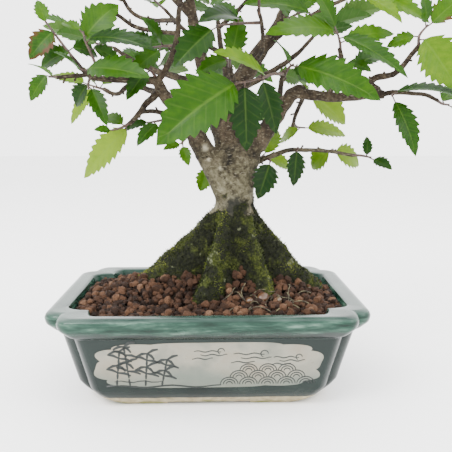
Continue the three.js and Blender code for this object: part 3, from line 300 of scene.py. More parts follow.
def closed_tube(points, faces, rings):
    """Adds a closed skin through rings to lists of points and faces."""
    first, count = len(points), len(rings[0])
    for ring in rings:
        points.extend(ring)
    for i in range(len(rings) - 1):
        for j in range(count):
            a, b = first + i * count + j, first + i * count + (j + 1) % count
            faces.append((a, b, b + count, a + count))
    last = first + (len(rings) - 1) * count
    faces.append(tuple(range(first + count - 1, first - 1, -1)))
    faces.append(tuple(range(last, last + count)))


def lofted(name, rings, *materials):
    """A piece with a closed skin through rings of places in millimetres."""
    points, faces = [], []
    closed_tube(points, faces, rings)
    return made_piece(name, [place(*p) for p in points], faces, *materials)


def made_piece(name, points, faces, *materials):
    mesh = bpy.data.meshes.new(name)
    mesh.from_pydata(points, [], faces)
    for material in materials:
        mesh.materials.append(material)
    piece = bpy.data.objects.new(name, mesh)
    bpy.context.collection.objects.link(piece)
    return piece


def take_up(piece):
    """Makes a piece the only one that the operators act on."""
    bpy.ops.object.select_all(action="DESELECT")
    piece.select_set(True)
    bpy.context.view_layer.objects.active = piece


def rounded(piece, degrees):
    take_up(piece)
    bpy.ops.object.shade_smooth_by_angle(angle=math.radians(degrees))


def cut_away(piece, cutter):
    """Takes one solid out of another."""
    take_up(piece)
    cut = piece.modifiers.new("cut", "BOOLEAN")
    cut.object = cutter
    cut.solver = "EXACT"
    bpy.ops.object.modifier_apply(modifier=cut.name)
    bpy.data.objects.remove(cutter)


glaze = Finish("glaze", Coat_Weight=0.1, Coat_Roughness=0.08, Specular_IOR_Level=0.16)
glaze_height = glaze.axis("Z")
drips = glaze.stretched(1, 1, 0.25).grain(60, 4)
streaks = glaze.stretched(0.22, 0.22, 1.6).grain(260, 4, 0.62)
clouds = glaze.here.grain(38, 3)
specks = glaze.here.grain(1500, 2)
wall_colour = clouds.ramp(
    (0.3, (0.004, 0.0075, 0.0065)), (0.55, (0.008, 0.014, 0.012)), (0.8, (0.018, 0.026, 0.022))
)
lip_colour = streaks.ramp(
    (0.3, (0.0018, 0.0108, 0.0066)), (0.46, (0.0066, 0.027, 0.0174)),
    (0.57, (0.021, 0.054, 0.0372)), (0.74, (0.09, 0.15, 0.114)),
)
flange_colour = (0.5 * clouds + 0.5 * streaks).ramp(
    (0.36, (0.005, 0.018, 0.014)), (0.62, (0.034, 0.062, 0.049))
)
# Heights in metres where one glaze runs into the next
WALL_TO_LIP, LIP_TO_FLANGE, CLAY_TO_WALL = (0.0405, 0.0435), (0.0485, 0.0494), (0.0046, 0.0052)
over_lip = (glaze_height + 0.004 * (drips - 0.5)).step(*WALL_TO_LIP)
over_flange = (glaze_height + 0.0006 * (clouds - 0.5)).step(*LIP_TO_FLANGE)
# Painted shade: a dark band in the crease where the rolled lip tucks in to the wall
under_lip_shade = abs(glaze_height - LIP_BOTTOM * MM).step(0.0014, 0.0004)
glazed = over_lip.mix(wall_colour, lip_colour)
glazed = over_flange.mix(glazed, flange_colour)
glazed = (under_lip_shade * 0.8).mix(glazed, (0.006, 0.012, 0.01))
glazed = (specks.step(0.7, 0.74) * 0.6).mix(glazed, (0.006, 0.01, 0.009))
clay_edge = (glaze_height + 0.0012 * (drips - 0.5)).step(*CLAY_TO_WALL)
stain_reach = (glaze_height + 0.006 * (clouds - 0.5)).step(0.0026, 0.0004)
stain = stain_reach * glaze.here.grain(90).step(0.35, 0.6)
clay = glaze.here.grain(300, 4).ramp((0.3, (0.19, 0.15, 0.085)), (0.7, (0.36, 0.31, 0.2)))
clay = (stain * 0.85).mix(clay, (0.1, 0.115, 0.012))
pot_material = glaze.wear(
    Base_Color=clay_edge.mix(clay, glazed),
    Roughness=clay_edge.node("Mix", None, {0: clay_edge, 2: 0.75, 3: 0.2 + 0.12 * clouds}),
    Normal=(streaks * 0.4 + glaze.here.grain(700, 2) * 0.12).bump(0.0006, 0.35),
)

outer_heights = [0, 0.3, 0.8, 1.4, 2.2, 3, 4, 5, 6, 7, 8, 9, 10, 11, 13, 17, 23, 30, 35, 37]
outer_heights += [37.6, 38, 38.3, 38.6, 38.9, 39.2, 39.6, 40.2, 41, 42, 43, 44, 45, 46, 47]
outer_heights += [47.8, 48.5, 49, 49.4, 49.7, 50]
pot_rings = [
    pot_ring(FOOT_HOLLOW_HALF_LENGTH, FOOT_HOLLOW_HALF_WIDTH, z, OUTER_CORNER, 0)
    for z in (FOOT_HOLLOW_DEPTH, 0)
]
for z in outer_heights:
    half_x, half_y, depth = pot_level(z)
    pot_rings.append(pot_ring(half_x, half_y, z, OUTER_CORNER, depth))
flange_outer, flange_inner = pot_rings[-1], inner_ring(49.6)
for share, drop in FLANGE_DISH:
    ring = [a.lerp(b, share) for a, b in zip(flange_outer, flange_inner)]
    pot_rings.append([Vector((p.x, p.y, POT_HEIGHT - drop)) for p in ring])
pot_rings += [inner_ring(z) for z in (48.6, 47, 44, LIP_BOTTOM, 30, 20, 12, FLOOR_TOP)]
for ring in pot_rings[2:-9]:
    for p in ring:
        p += 0.25 * noise.noise_vector(p / 23) * min(1, p.z / 8)
pot_piece = lofted("pot_glazed", pot_rings, pot_material)
for side in (-1, 1):
    bpy.ops.mesh.primitive_cylinder_add(
        vertices=48, radius=DRAIN_RADIUS * MM, depth=FLOOR_TOP * MM,
        location=place(DRAIN_OFFSET * side, 0, DRAIN_MIDDLE),
    )
    cut_away(pot_piece, bpy.context.object)
for half_x, half_y in ARCHES:
    bpy.ops.mesh.primitive_cube_add(size=1, location=place(0, 0, 0))
    arch = bpy.context.object
    bpy.ops.transform.resize(value=(2 * half_x * MM, 2 * half_y * MM, ARCH_DEPTH * MM))
    arch_bevel = arch.modifiers.new("round", "BEVEL")
    arch_bevel.width, arch_bevel.segments = ARCH_ROUND * MM, 4
    bpy.ops.object.modifier_apply(modifier=arch_bevel.name)
    cut_away(pot_piece, arch)
rounded(pot_piece, 40)
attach(pot_piece, "root")
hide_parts("pot")


# Picture panels. A reserve of cream slip on each long wall, with waves, bamboo and clouds
# brushed on it in dark green. They are generic motifs, and both lie just proud of the glaze.
WALL_LOW, WALL_HIGH = (10, 46), (37.9, 53.1)
PANEL_HALF_LENGTH, PANEL_HALF_HEIGHT, PANEL_MIDDLE = 56, 12.6, 24.2
PANEL_POINTS = 200
WALL_SLOPE = (WALL_HIGH[1] - WALL_LOW[1]) / (WALL_HIGH[0] - WALL_LOW[0])


def on_wall(x, z, lift, side):
    """A place on a long wall, at a height over the floor and a lift out of the glaze."""
    out = Vector((0, 1, -WALL_SLOPE)).normalized() * lift
    y = WALL_LOW[1] + (z - WALL_LOW[0]) * WALL_SLOPE
    return place(-side * x, side * (y + out.y), z + out.z)


slip = Finish("cream_slip", Coat_Weight=0.25, Coat_Roughness=0.1, Specular_IOR_Level=0.3)
slip_clouds = slip.here.grain(55, 3)
slip_colour = slip_clouds.ramp(
    (0.3, (0.1063, 0.1125, 0.0906)), (0.5, (0.1875, 0.1781, 0.1375)), (0.7, (0.1688, 0.1406, 0.1))
)
slip_low = (slip.axis("Z") + 0.02 * (slip.here.grain(30) - 0.5)).step(0.024, 0.014)
slip_colour = (slip_low * 0.75).mix(slip_colour, (0.085, 0.105, 0.085))
slip_specks = slip.here.grain(1100, 2).step(0.71, 0.74)
slip_material = slip.wear(
    Base_Color=(slip_specks * 0.5).mix(slip_colour, (0.03, 0.026, 0.02)),
    Roughness=0.22 + 0.2 * slip_clouds,
    Normal=slip.here.grain(500, 3).bump(0.0004, 0.2),
)
brushwork = Finish("brushed_green", Coat_Weight=0.2, Coat_Roughness=0.12, Specular_IOR_Level=0.3)
brush_wash = brushwork.here.grain(900, 3)
brush_material = brushwork.wear(
    Base_Color=brush_wash.ramp((0.3, (0.001, 0.003, 0.0025)), (0.7, (0.005, 0.0095, 0.0075))),
    Roughness=0.25 + 0.3 * brush_wash,
)


def reserve_outline(turn):
    """The reserve's edge: a long rounded shape with cloud lobes, by the turn round it."""
    cos, sin = math.cos(turn), math.sin(turn)
    lobe = 0.93 + 0.07 * abs(math.sin(5 * turn + 0.5)) ** 0.7
    x = PANEL_HALF_LENGTH * math.copysign(abs(cos) ** 0.42, cos) * lobe
    return x, PANEL_MIDDLE + PANEL_HALF_HEIGHT * math.copysign(abs(sin) ** 0.62, sin) * lobe


def reserve(side):
    """The raised slip of one panel, cut to its outline with a rounded edge."""
    bpy.ops.mesh.primitive_circle_add(vertices=PANEL_POINTS, radius=1, fill_type="NGON")
    piece = bpy.context.object
    for k, vertex in enumerate(piece.data.vertices):
        x, z = reserve_outline(2 * math.pi * k / PANEL_POINTS)
        vertex.co = on_wall(x, z, -0.1, side) - piece.location
    bpy.ops.object.mode_set(mode="EDIT")
    bpy.ops.mesh.select_all(action="SELECT")
    out = on_wall(0, 20, 0.25, side) - on_wall(0, 20, 0, side)
    bpy.ops.mesh.extrude_region_move(TRANSFORM_OT_translate={"value": out})
    bpy.ops.mesh.inset(thickness=0.12 * MM, depth=0.05 * MM)
    bpy.ops.mesh.select_all(action="SELECT")
    bpy.ops.mesh.normals_make_consistent(inside=False)
    bpy.ops.object.mode_set(mode="OBJECT")
    bpy.ops.object.transform_apply(location=True, rotation=True, scale=True)
    piece.data.materials.append(slip_material)
    return piece


# Heading in radians and length of the leaves at a joint of the bamboo
BAMBOO_LEAVES = [(0.5, 6), (-0.35, 6.6), (-0.9, 5.2), (2.7, 6), (3.5, 5.6)]
# Foot, lean and top of each bamboo, place and size of each cloud, and its lines' two ends
BAMBOOS = ((-45, 2.4, 33), (-38.5, -2, 35.5), (-31, 1.6, 31.5), (-23, 3, 28))
CLOUDS = ((0, 32, 1), (20, 30.5, 1.15), (38, 28.5, 0.95))
CLOUD_LINES = ((-7, 6), (-4, 9), (-8, 2))
WAVE_RADII = (4.3, 2.9, 1.5)


def brush_stroke(points, faces, line, width, side):
    """A low ridge along a line of (x, z), swelling from a fine start to a fine end."""
    rings = []
    for k, (x, z) in enumerate(line):
        before, after = line[max(k - 1, 0)], line[min(k + 1, len(line) - 1)]
        run = Vector((after[0] - before[0], after[1] - before[1])).normalized()
        share = k / (len(line) - 1)
        half = width / 2 * (0.35 + 0.65 * math.sin(math.pi * min(max(share, 0.04), 0.96)) ** 0.5)
        rings.append([
            on_wall(x - run.y * across * half, z + run.x * across * half, lift, side)
            for across, lift in ((-1, 0.1), (1, 0.1), (0.5, 0.32), (-0.5, 0.32))
        ])
    closed_tube(points, faces, rings)


def brushed_lines():
    """Waves at the right foot of the panel, bamboo at the left and cloud scrolls above."""
    lines = []
    half_turn = [math.pi * k / 10 for k in range(11)]
    for row in range(3):
        for column in range(5 - row):
            x, z = 10 + 9.4 * column + 4.7 * row, 13.6 + 3.7 * row
            for radius in WAVE_RADII:
                arc = [(radius * math.cos(a), 0.9 * radius * math.sin(a)) for a in half_turn]
                lines.append(([(x + across, z + up) for across, up in arc], 0.85))
    for x, lean, top in BAMBOOS:
        for joint in range(5):
            low, high = [
                (x + lean * share, 13 + (top - 13) * share)
                for share in (joint / 5, (joint + 0.88) / 5)
            ]
            lines.append(([low, tuple((a + b) / 2 for a, b in zip(low, high)), high], 1.5))
            for leaf, (turn, length) in enumerate(BAMBOO_LEAVES):
                if joint == 0 or (leaf + joint) % 2:
                    continue
                way = (length * math.cos(turn), 0.8 * length * math.sin(turn))
                bend = (high[0] + 0.5 * way[0], high[1] + 0.5 * way[1] + 0.6)
                lines.append(([high, bend, (high[0] + way[0], high[1] + way[1])], 2))
    for x, z, size in CLOUDS:
        for row, (start, end) in enumerate(CLOUD_LINES):
            steps = [start + (end - start) * k / 12 for k in range(13)]
            scroll = [(x + size * s, z - 2 * row * size + 0.4 * math.sin(0.9 * s)) for s in steps]
            lines.append((scroll, 0.85))
        turns = [1.4 * math.pi * k / 10 for k in range(11)]
        curl = [(x + size * (6 + 1.6 * math.cos(c)), z + 1.6 * size * math.sin(c)) for c in turns]
        lines.append((curl, 0.8))
    lines.append(([(-50 + 4 * k, 12.6 + 0.6 * math.sin(k)) for k in range(15)], 1.3))
    lines.append(([(-46 + 3 * k, 15.4 + 0.5 * math.sin(1.7 * k)) for k in range(9)], 0.9))
    return lines


for name, side in (("front", -1), ("back", 1)):
    reserve_piece = reserve(side)
    reserve_piece.name = f"panel_{name}_slip"
    rounded(reserve_piece, 40)
    stroke_points, stroke_faces = [], []
    for line, width in brushed_lines():
        brush_stroke(stroke_points, stroke_faces, line, width, side)
    strokes = made_piece(f"panel_{name}_brushwork", stroke_points, stroke_faces, brush_material)
    take_up(strokes)
    bpy.ops.object.mode_set(mode="EDIT")
    bpy.ops.mesh.select_all(action="SELECT")
    bpy.ops.mesh.normals_make_consistent(inside=False)
    bpy.ops.object.mode_set(mode="OBJECT")
    for piece in (reserve_piece, strokes):
        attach(piece, "root")


# Drain meshes. Squares of dark plastic mesh over the two holes in the pot's floor, laid there
# before the soil goes in. Their solids have the right shape and only get a finish.
plastic = Finish("mesh_plastic", Roughness=0.45)
plastic_wear = plastic.here.grain(800, 3)
plastic_material = plastic.wear(
    Base_Color=plastic_wear.ramp((0.35, (0.012, 0.014, 0.012)), (0.7, (0.04, 0.042, 0.036))),
    Normal=plastic_wear.bump(0.0002, 0.3),
)
for name in ("drain_mesh_left", "drain_mesh_right"):
    drain_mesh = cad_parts[name]
    drain_mesh.data.materials.clear()
    drain_mesh.data.materials.append(plastic_material)


# Soil. A bed of fired clay grit, heaped round the flare and covered with loose granules of red
# brown clay, with small dark crumbs between them and a few pebbles.
SOIL_EDGE, SOIL_RISE, SOIL_GAP = 45.2, 15.5, 0.4
SOIL_HALF_X, SOIL_HALF_Y, SOIL_CORNER = 69.3, 49.6, 1.72
SOIL_RINGS = 34
SCATTER_X, SCATTER_Y = 144, 102
MOUND_X, MOUND_REACH_X, MOUND_REACH_Y, MOUND_END_X = 6, 62, 24, 72
HEAP_X, HEAP_Y, HEAP_REACH_X, HEAP_REACH_Y, HEAP_RISE = 17, -9, 9, 8, 8


def draws(*keys):
    """Seeded random numbers from 0 to 1, the same as those that laid out the solids."""
    state = 17
    for key in keys:
        state = (state * 131 + key + 7) % 2147483647

    def draw():
        nonlocal state
        state = state * 16807 % 2147483647
        return state / 2147483647

    draw()
    return draw


def soil_height(x, y):
    """The soil's even surface: a mound round the flare, with a heap between two roots."""
    run = math.exp(-((abs(x - MOUND_X) / MOUND_REACH_X) ** 3)) * (1 - (abs(x) / MOUND_END_X) ** 6)
    off_heap = ((x - HEAP_X) / HEAP_REACH_X) ** 2, ((y - HEAP_Y) / HEAP_REACH_Y) ** 2
    heap = HEAP_RISE * math.exp(-off_heap[0] - off_heap[1])
    return SOIL_EDGE + SOIL_RISE * max(run, 0) * math.exp(-((y / MOUND_REACH_Y) ** 2)) + heap


# The flare's roots: heading in degrees from +X, reach past the trunk at the soil, and spread
ROOTS = [(181, 38, 15), (-4, 28, 16), (-121, 19, 13), (128, 26, 15), (52, 27, 15), (-52, 13, 12)]
TRUNK_X, TRUNK_Y, TRUNK_RADIUS = 14.4, 2, 10.4
FLARE_TOP, SOIL_LINE = 96, 57
FORK_FOOT, FORK_RUN, FORK_WIDENING = 104, 22, 3.4
DOME_FOOT, DOME_RUN = 120, 10


def trunk_radius(z):
    """The trunk's radius: widening to the fork, and rounded over at its top."""
    dome = max(0, (z - DOME_FOOT) / DOME_RUN)
    waist = TRUNK_RADIUS + FORK_WIDENING * max(0, (z - FORK_FOOT) / FORK_RUN) ** 1.5
    return waist * math.sqrt(max(0.05, 1 - 0.8 * dome**2))


def off_root(angle, heading):
    """Degrees between an angle round the trunk and a root's heading."""
    return (math.degrees(angle) - heading + 180) % 360 - 180


def flare_radius(angle, z):
    """The trunk's radius with the roots that spread from it below the flare's top."""
    run = min(max(0, (FLARE_TOP - z) / (FLARE_TOP - SOIL_LINE)), 1.15)
    reach = 5 * run**2
    for heading, length, spread in ROOTS:
        reach += length * run * math.exp(-((off_root(angle, heading) / spread) ** 2) / 2)
    return trunk_radius(z) + reach


def in_flare(x, y, z, margin):
    """Whether a place is inside the trunk and its roots, grown by a margin."""
    dx, dy = x - TRUNK_X, y - TRUNK_Y
    return math.hypot(dx, dy) < flare_radius(math.atan2(dy, dx), z) + margin


def in_pot(x, y, margin):
    """Whether a place is inside the ring of the soil's edge, less a margin."""
    half_x, half_y = SOIL_HALF_X - margin, SOIL_HALF_Y - margin
    cut = abs(x) / half_x + abs(y) / half_y
    return abs(x) < half_x and abs(y) < half_y and cut < SOIL_CORNER


earth = Finish("fine_earth", Roughness=0.95, Specular_IOR_Level=0.1)
earth_grain = earth.here.grain(700, 4, 0.7)
earth_material = earth.wear(
    Base_Color=earth_grain.ramp(
        (0.3, (0.002, 0.0015, 0.001)), (0.55, (0.009, 0.006, 0.004)), (0.75, (0.03, 0.018, 0.011))
    ),
    Normal=earth_grain.bump(0.001, 0.8),
)
soil_top = inner_ring(SOIL_EDGE, SOIL_GAP)
soil_rings = [inner_ring(z, SOIL_GAP) for z in (FLOOR_TOP + SOIL_GAP, LIP_BOTTOM)]
for k in range(SOIL_RINGS):
    share = 1 - k / SOIL_RINGS
    ring = []
    for p in soil_top:
        x, y = p.x * share, p.y * share
        bump = 1.1 * noise.noise(Vector((x, y, 3)) / 2.7)
        ring.append(Vector((x, y, soil_height(x, y) - 1.2 + bump)))
    soil_rings.append(ring)
soil_bed = lofted("soil_bed", soil_rings, earth_material)
rounded(soil_bed, 60)
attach(soil_bed, "root")
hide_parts("soil")

granule = Finish("fired_clay", Roughness=0.9, Specular_IOR_Level=0.2)
granule_tone = granule.marked("tone")
granule_grain = granule.here.grain(1300, 4, 0.65)
granule_colour = (granule_tone + 0.5 * (granule_grain - 0.5)).ramp(
    (0.02, (0.0024, 0.0013, 0.0008)), (0.3, (0.0128, 0.0056, 0.0028)), (0.6, (0.036, 0.016, 0.008)),
    (0.85, (0.072, 0.0344, 0.0176)), (1, (0.136, 0.08, 0.048)),
)
granule_pits = granule.here.grain(2600, 2).step(0.42, 0.3)
granule_material = granule.wear(
    Base_Color=(granule_pits * 0.6).mix(granule_colour, (0.005, 0.003, 0.002)),
    Normal=(granule_grain - 0.5 * granule_pits).bump(0.0008, 0.7),
)
pebble = Finish("river_pebble", Roughness=0.42)
pebble_grain = pebble.here.grain(420, 3)
pebble_material = pebble.wear(
    Base_Color=(0.5 * pebble.marked("tone") + 0.6 * pebble_grain).ramp(
        (0.2, (0.024, 0.0084, 0.0024)), (0.5, (0.051, 0.0204, 0.006)), (0.8, (0.066, 0.045, 0.024))
    ),
    Normal=pebble_grain.bump(0.0003, 0.3),
)


def lump_form(level):
    """A ball of few faces, whose points are moved for each lump that is made from it."""
    bpy.ops.mesh.primitive_ico_sphere_add(subdivisions=level, radius=1)
    ball = bpy.context.object
    points = [v.co.copy() for v in ball.data.vertices]
    faces = [tuple(f.vertices) for f in ball.data.polygons]
    bpy.data.objects.remove(ball)
    return points, faces


def turned(draw):
    """A random turn in space."""
    axis = Vector((draw() - 0.5, draw() - 0.5, draw() - 0.5)).normalized()
    return Matrix.Rotation(2 * math.pi * draw(), 3, axis)


def mark_points(piece, **marks):
    """Numbers kept at a piece's points, which its finish reads by their names."""
    for name, values in marks.items():
        piece.data.attributes.new(name, "FLOAT", "POINT").data.foreach_set("value", values)


class Heap:
    """Many small lumps gathered into one piece, each with a tone of its own."""

    def __init__(self):
        self.points, self.faces, self.tones = [], [], []

    def add(self, form, centre, size, draw, rough, tone):
        turn = turned(draw)
        stretch = Vector((0.85 + 0.4 * draw(), 0.8 + 0.3 * draw(), 0.75 + 0.3 * draw()))
        seed = Vector((40 * draw(), 40 * draw(), 40 * draw()))
        first = len(self.points)
        for p in form[0]:
            coarse, fine = noise.noise(p * 1.25 + seed), noise.noise(p * 2.9 + seed)
            bulge = 1 + rough * coarse + 0.45 * rough * fine
            self.points.append(centre + turn @ (p * stretch) * size * bulge * MM)
        self.faces += [tuple(first + i for i in face) for face in form[1]]
        self.tones += [tone] * len(form[0])

    def settle(self, name, material, degrees, slot, *nodes):
        piece = made_piece(name, self.points, self.faces, material)
        mark_points(piece, tone=self.tones)
        rounded(piece, degrees)
        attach(piece, "root")
        for node in nodes:
            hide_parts(node)
        return piece


def scattered(pitch, draw, jitter):
    """Places on a triangular lattice over the pot, each moved at random by part of the pitch."""
    row_step = pitch * math.sqrt(0.75)
    for j in range(int(SCATTER_Y / row_step)):
        for i in range(int(SCATTER_X / pitch)):
            x = (i + j % 2 / 2) * pitch - SCATTER_X / 2 + jitter * pitch * (draw() - 0.5)
            yield x, j * row_step - SCATTER_Y / 2 + jitter * pitch * (draw() - 0.5)


granules = Heap()
granule_form = lump_form(2)
draw = draws(41)
for x, y in scattered(3.5, draw, 0.7):
    size, tone, lift = 1.55 + 0.95 * draw() ** 1.5, 0.2 + 0.55 * draw(), 0.9 * draw()
    z = soil_height(x, y) + lift - 0.5
    if in_pot(x, y, size * 0.9) and not in_flare(x, y, z, -1.5):
        granules.add(granule_form, place(x, y, z), size, draw, 0.42, tone)
draw = draws(42)
for x, y in scattered(5.4, draw, 1):
    size, tone = 1.5 + 0.9 * draw(), 0.25 + 0.65 * draw()
    z = soil_height(x, y) + 1.5 + 0.5 * draw()
    if draw() < 0.62 and in_pot(x, y, size + 1.5) and not in_flare(x, y, z, 0.6):
        granules.add(granule_form, place(x, y, z), size, draw, 0.42, tone)
granules.settle("soil_granules", granule_material, 35, "clay_granules")

crumbs = Heap()
crumb_form = lump_form(1)
draw = draws(43)
for x, y in scattered(2.5, draw, 1):
    size, tone = 0.35 + 0.55 * draw(), 0.05 + 0.5 * draw() ** 2
    z = soil_height(x, y) + 0.4 + 1.4 * draw()
    if draw() < 0.75 and in_pot(x, y, 1) and not in_flare(x, y, z, 0.4):
        crumbs.add(crumb_form, place(x, y, z), size, draw, 0.4, tone)
crumbs.settle("soil_crumbs", granule_material, 60, "clay_granules")

# Place on the soil, size and tone
PEBBLES = [
    (28, -26, 3.3, 0.3), (36, -28, 1.9, 0.9), (21, -29, 2.1, 0.5), (-36, 22, 2.2, 0.7),
    (48, 14, 1.9, 0.8),
]
pebbles = Heap()
pebble_form = lump_form(3)
draw = draws(44)
for x, y, size, tone in PEBBLES:
    pebbles.add(pebble_form, place(x, y, soil_height(x, y) + 1.6), size, draw, 0.12, tone)
pebbles.settle("soil_pebbles", pebble_material, 60, "clay_granules")


# Tree. Flare, trunk, limbs and branches that grew as one piece. Smooth grey bark with pale
# dashes on the trunk, browner on the branches, and moss from the flare's ridges to the soil.
# The routes are those of the solids: places, then the radius at the start and at the end.
FRONT_LIMBS = [
    ([(12, 1, 101), (1, -2, 121), (-6.5, -6, 134), (-15, -11, 145), (-23, -14, 156),
      (-26, -16, 163)], 7.6, 2.6),
    ([(-26, -16, 161), (-19, -20, 170), (-15, -22, 183), (-14, -24, 192),
      (-12, -24, 206)], 1.7, 1.2),
    ([(-25, -14, 156), (-31, -16, 151), (-34, -20, 146), (-39, -25, 140)], 2, 1.2),
    ([(-26, -16, 162), (-34, -16, 162), (-44, -18, 162), (-53, -22, 162), (-59, -24, 164),
      (-66, -26, 172)], 2.2, 1.2),
    ([(-58, -24, 164), (-66, -26, 163), (-73, -28, 162)], 1.2, 0.9),
    ([(-24, -14, 156), (-31, -2, 158), (-41, 6, 162), (-50, 13, 157), (-58, 16, 160)], 1.8, 1.1),
    ([(-18, -11, 144), (-28, -8, 147), (-36, -6, 146)], 1.5, 1),
    ([(-14, -23, 190), (-22, -6, 193), (-30, 4, 195), (-39, 6, 198), (-45, 4, 206)], 1.4, 1),
    ([(-15, -22, 184), (-34, -12, 188), (-45, -14, 194), (-53, -17, 199)], 1.2, 0.9),
    ([(17, 0, 103), (22, -2, 122), (28.5, -6, 134), (38, -10, 148), (43, -12, 155),
      (49, -12, 157)], 7, 2.9),
    ([(47, -12, 156), (56, -12, 155), (68, -14, 154), (82, -16, 155), (90, -17, 155)], 3, 2.2),
    ([(88, -16, 155), (96, -18, 156), (109, -18, 155), (117, -19, 152)], 1.5, 0.9),
    ([(78, -15, 156), (84, -20, 163), (93, -24, 165), (100, -28, 174), (103, -30, 178)], 2, 1.1),
    ([(62, -13, 155), (66, -22, 168), (64, -29, 176)], 1.7, 1.1),
    ([(37, -10, 147), (36, -22, 157), (37, -31, 165)], 1.7, 1.2),
    ([(20, 1, 114), (25, 0, 119), (32, -2, 123), (41, -6, 126), (50, -9, 127), (64, -12, 126),
      (76, -13, 124)], 1.9, 0.9),
    ([(46, -10, 156), (52, 8, 155), (50, 19, 147), (49, 26, 140)], 1.7, 1),
    ([(14, 2, 112), (10.5, 3, 132), (13, 6, 152), (20, 9, 167), (25, 10, 175), (31, 10, 183),
      (37, 10, 191), (44, 10, 206)], 8, 3.2),
    ([(15, 7, 158), (13, -6, 164), (11, -17, 170)], 1.5, 1),
    ([(31, 10, 182), (44, 2, 191), (58, -8, 198), (72, -12, 204)], 1.6, 1),
    ([(24, 10, 173), (28, -8, 178), (27, -22, 186), (24, -34, 193)], 1.4, 0.9),
]

CROWN_LIMBS = [
    ([(44, 10, 204), (49, 11, 218), (50, 9, 234), (48, 4, 250)], 3.2, 1.4),
    ([(47, 11, 212), (60, 14, 220), (74, 16, 230), (86, 16, 240)], 2.2, 1.2),
    ([(9, 4, 132), (2, 10, 156), (-5, 16, 182), (-9, 17, 204), (-10, 14, 226),
      (-7, 8, 248)], 6, 1.5),
    ([(-9, 17, 200), (-24, 15, 214), (-40, 11, 226), (-52, 8, 238)], 2.4, 1.2),
    ([(-9, 15, 216), (4, 8, 230), (14, 0, 244), (19, -6, 256)], 2.1, 1.2),
    ([(12, 5, 130), (14, 22, 150), (12, 38, 168), (8, 50, 186), (6, 55, 204)], 5.4, 1.4),
    ([(13, 30, 159), (34, 42, 170), (52, 48, 182), (64, 50, 194)], 2.6, 1.2),
    ([(0, 12, 162), (-20, 28, 168), (-40, 38, 176), (-56, 43, 186)], 2.8, 1.2),
    ([(-12, -24, 204), (-20, -29, 216), (-27, -32, 228)], 1.3, 1),
    ([(-45, 4, 205), (-60, 4, 213), (-74, 2, 222)], 1.1, 0.9),
    ([(72, -12, 203), (82, -15, 214), (89, -17, 226)], 1.2, 0.9),
    ([(50, 10, 228), (42, -10, 234), (36, -28, 240)], 1.6, 1),
    ([(9, 47, 183), (-12, 52, 196), (-26, 54, 210)], 1.7, 1),
    ([(7, 54, 200), (22, 56, 214), (32, 52, 228)], 1.5, 1),
]

# Knots where branches leave the right-hand limb, as place and radius
KNOTS = [((84, -16, 157), 4.4), ((47, -12, 157), 4.2)]
TAPER = 1.5
THICK_LIMB = 2.1
BARK_VOXEL = 0.62 * MM
FLARE_LEVELS, FLARE_SIDES = 76, 180
FLARE_FOOT, FLARE_RISE = 42, 88


def curve_through(places, steps):
    """Places on a smooth curve through others, with each one's share of the way."""
    count = len(places)
    curve = []
    for i in range(count - 1):
        a, b, c, d = (places[min(max(i + k, 0), count - 1)] for k in (-1, 0, 1, 2))
        for k in range(steps):
            t = k / steps
            spot = 2 * b + (c - a) * t + (2 * a - 5 * b + 4 * c - d) * t**2
            spot += (3 * b - a - 3 * c + d) * t**3
            curve.append((spot / 2, (i + t) / (count - 1)))
    return curve + [(places[-1], 1)]


def tube_rings(places, radii, sides):
    """Rings across a line of places, turned as little as they can be from one to the next."""
    rings = []
    side = None
    for k, (spot, radius) in enumerate(zip(places, radii)):
        run = (places[min(k + 1, len(places) - 1)] - places[max(k - 1, 0)]).normalized()
        if side is None:
            side = Vector((1, 0, 0)) if abs(run.z) > 0.9 else Vector((0, 0, 1))
        side = (side - run * side.dot(run)).normalized()
        across = run.cross(side)
        turns = [2 * math.pi * j / sides for j in range(sides)]
        rings.append([spot + radius * (side * math.cos(a) + across * math.sin(a)) for a in turns])
    return rings


def limb_rings(limb_index, route, start, end, sides, steps):
    """Rings of one limb, with a gnarled outline, swellings at its nodes and a slight wander."""
    curve = curve_through([Vector(p) for p in route], steps)
    radii = []
    for spot, share in curve:
        radius = end + (start - end) * (1 - share) ** TAPER
        gnarl = noise.noise(Vector((share * len(route) * 1.7, 7.3 * limb_index, 0)))
        node_swell = 0.1 * max(0, math.sin(share * len(route) * 9 + limb_index)) ** 6
        radii.append(radius * (1 + 0.1 * gnarl + node_swell))
    wander = []
    for spot, share in curve:
        sway = (0.3 + 0.06 * start) * noise.noise_vector(spot / 7 + Vector((limb_index, 0, 0)))
        wander.append(spot + sway * min(1, 6 * share * (1 - share)))
    return tube_rings(wander, radii, sides)


wood_points, wood_faces = [], []
flare_rings = []
for level in range(FLARE_LEVELS):
    z = FLARE_FOOT + FLARE_RISE * level / (FLARE_LEVELS - 1)
    ring = []
    for j in range(FLARE_SIDES):
        angle = 2 * math.pi * j / FLARE_SIDES
        way = Vector((math.cos(angle), math.sin(angle), 0))
        radius = flare_radius(angle, z)
        low_part = min(1, max(0, (FLARE_TOP + 6 - z) / 40))
        spot = Vector((TRUNK_X, TRUNK_Y, z)) + way * radius
        relief = 1.9 * low_part * noise.noise(Vector((spot.x / 9, spot.y / 9, z / 13)))
        relief += (0.5 + 0.7 * low_part) * noise.noise(Vector((spot.x / 3.6, spot.y / 3.6, z / 5)))
        flute = 0.55 * math.sin(5 * angle + 0.05 * z + 1) * (1 - low_part)
        ring.append(spot + way * (relief + flute))
    flare_rings.append(ring)
closed_tube(wood_points, wood_faces, flare_rings)
thin_limbs = []
for limb_index, (route, start, end) in enumerate(FRONT_LIMBS + CROWN_LIMBS):
    if start > THICK_LIMB:
        closed_tube(wood_points, wood_faces, limb_rings(limb_index, route, start, end, 14, 9))
    else:
        thin_limbs.append((limb_index, route, start, end))
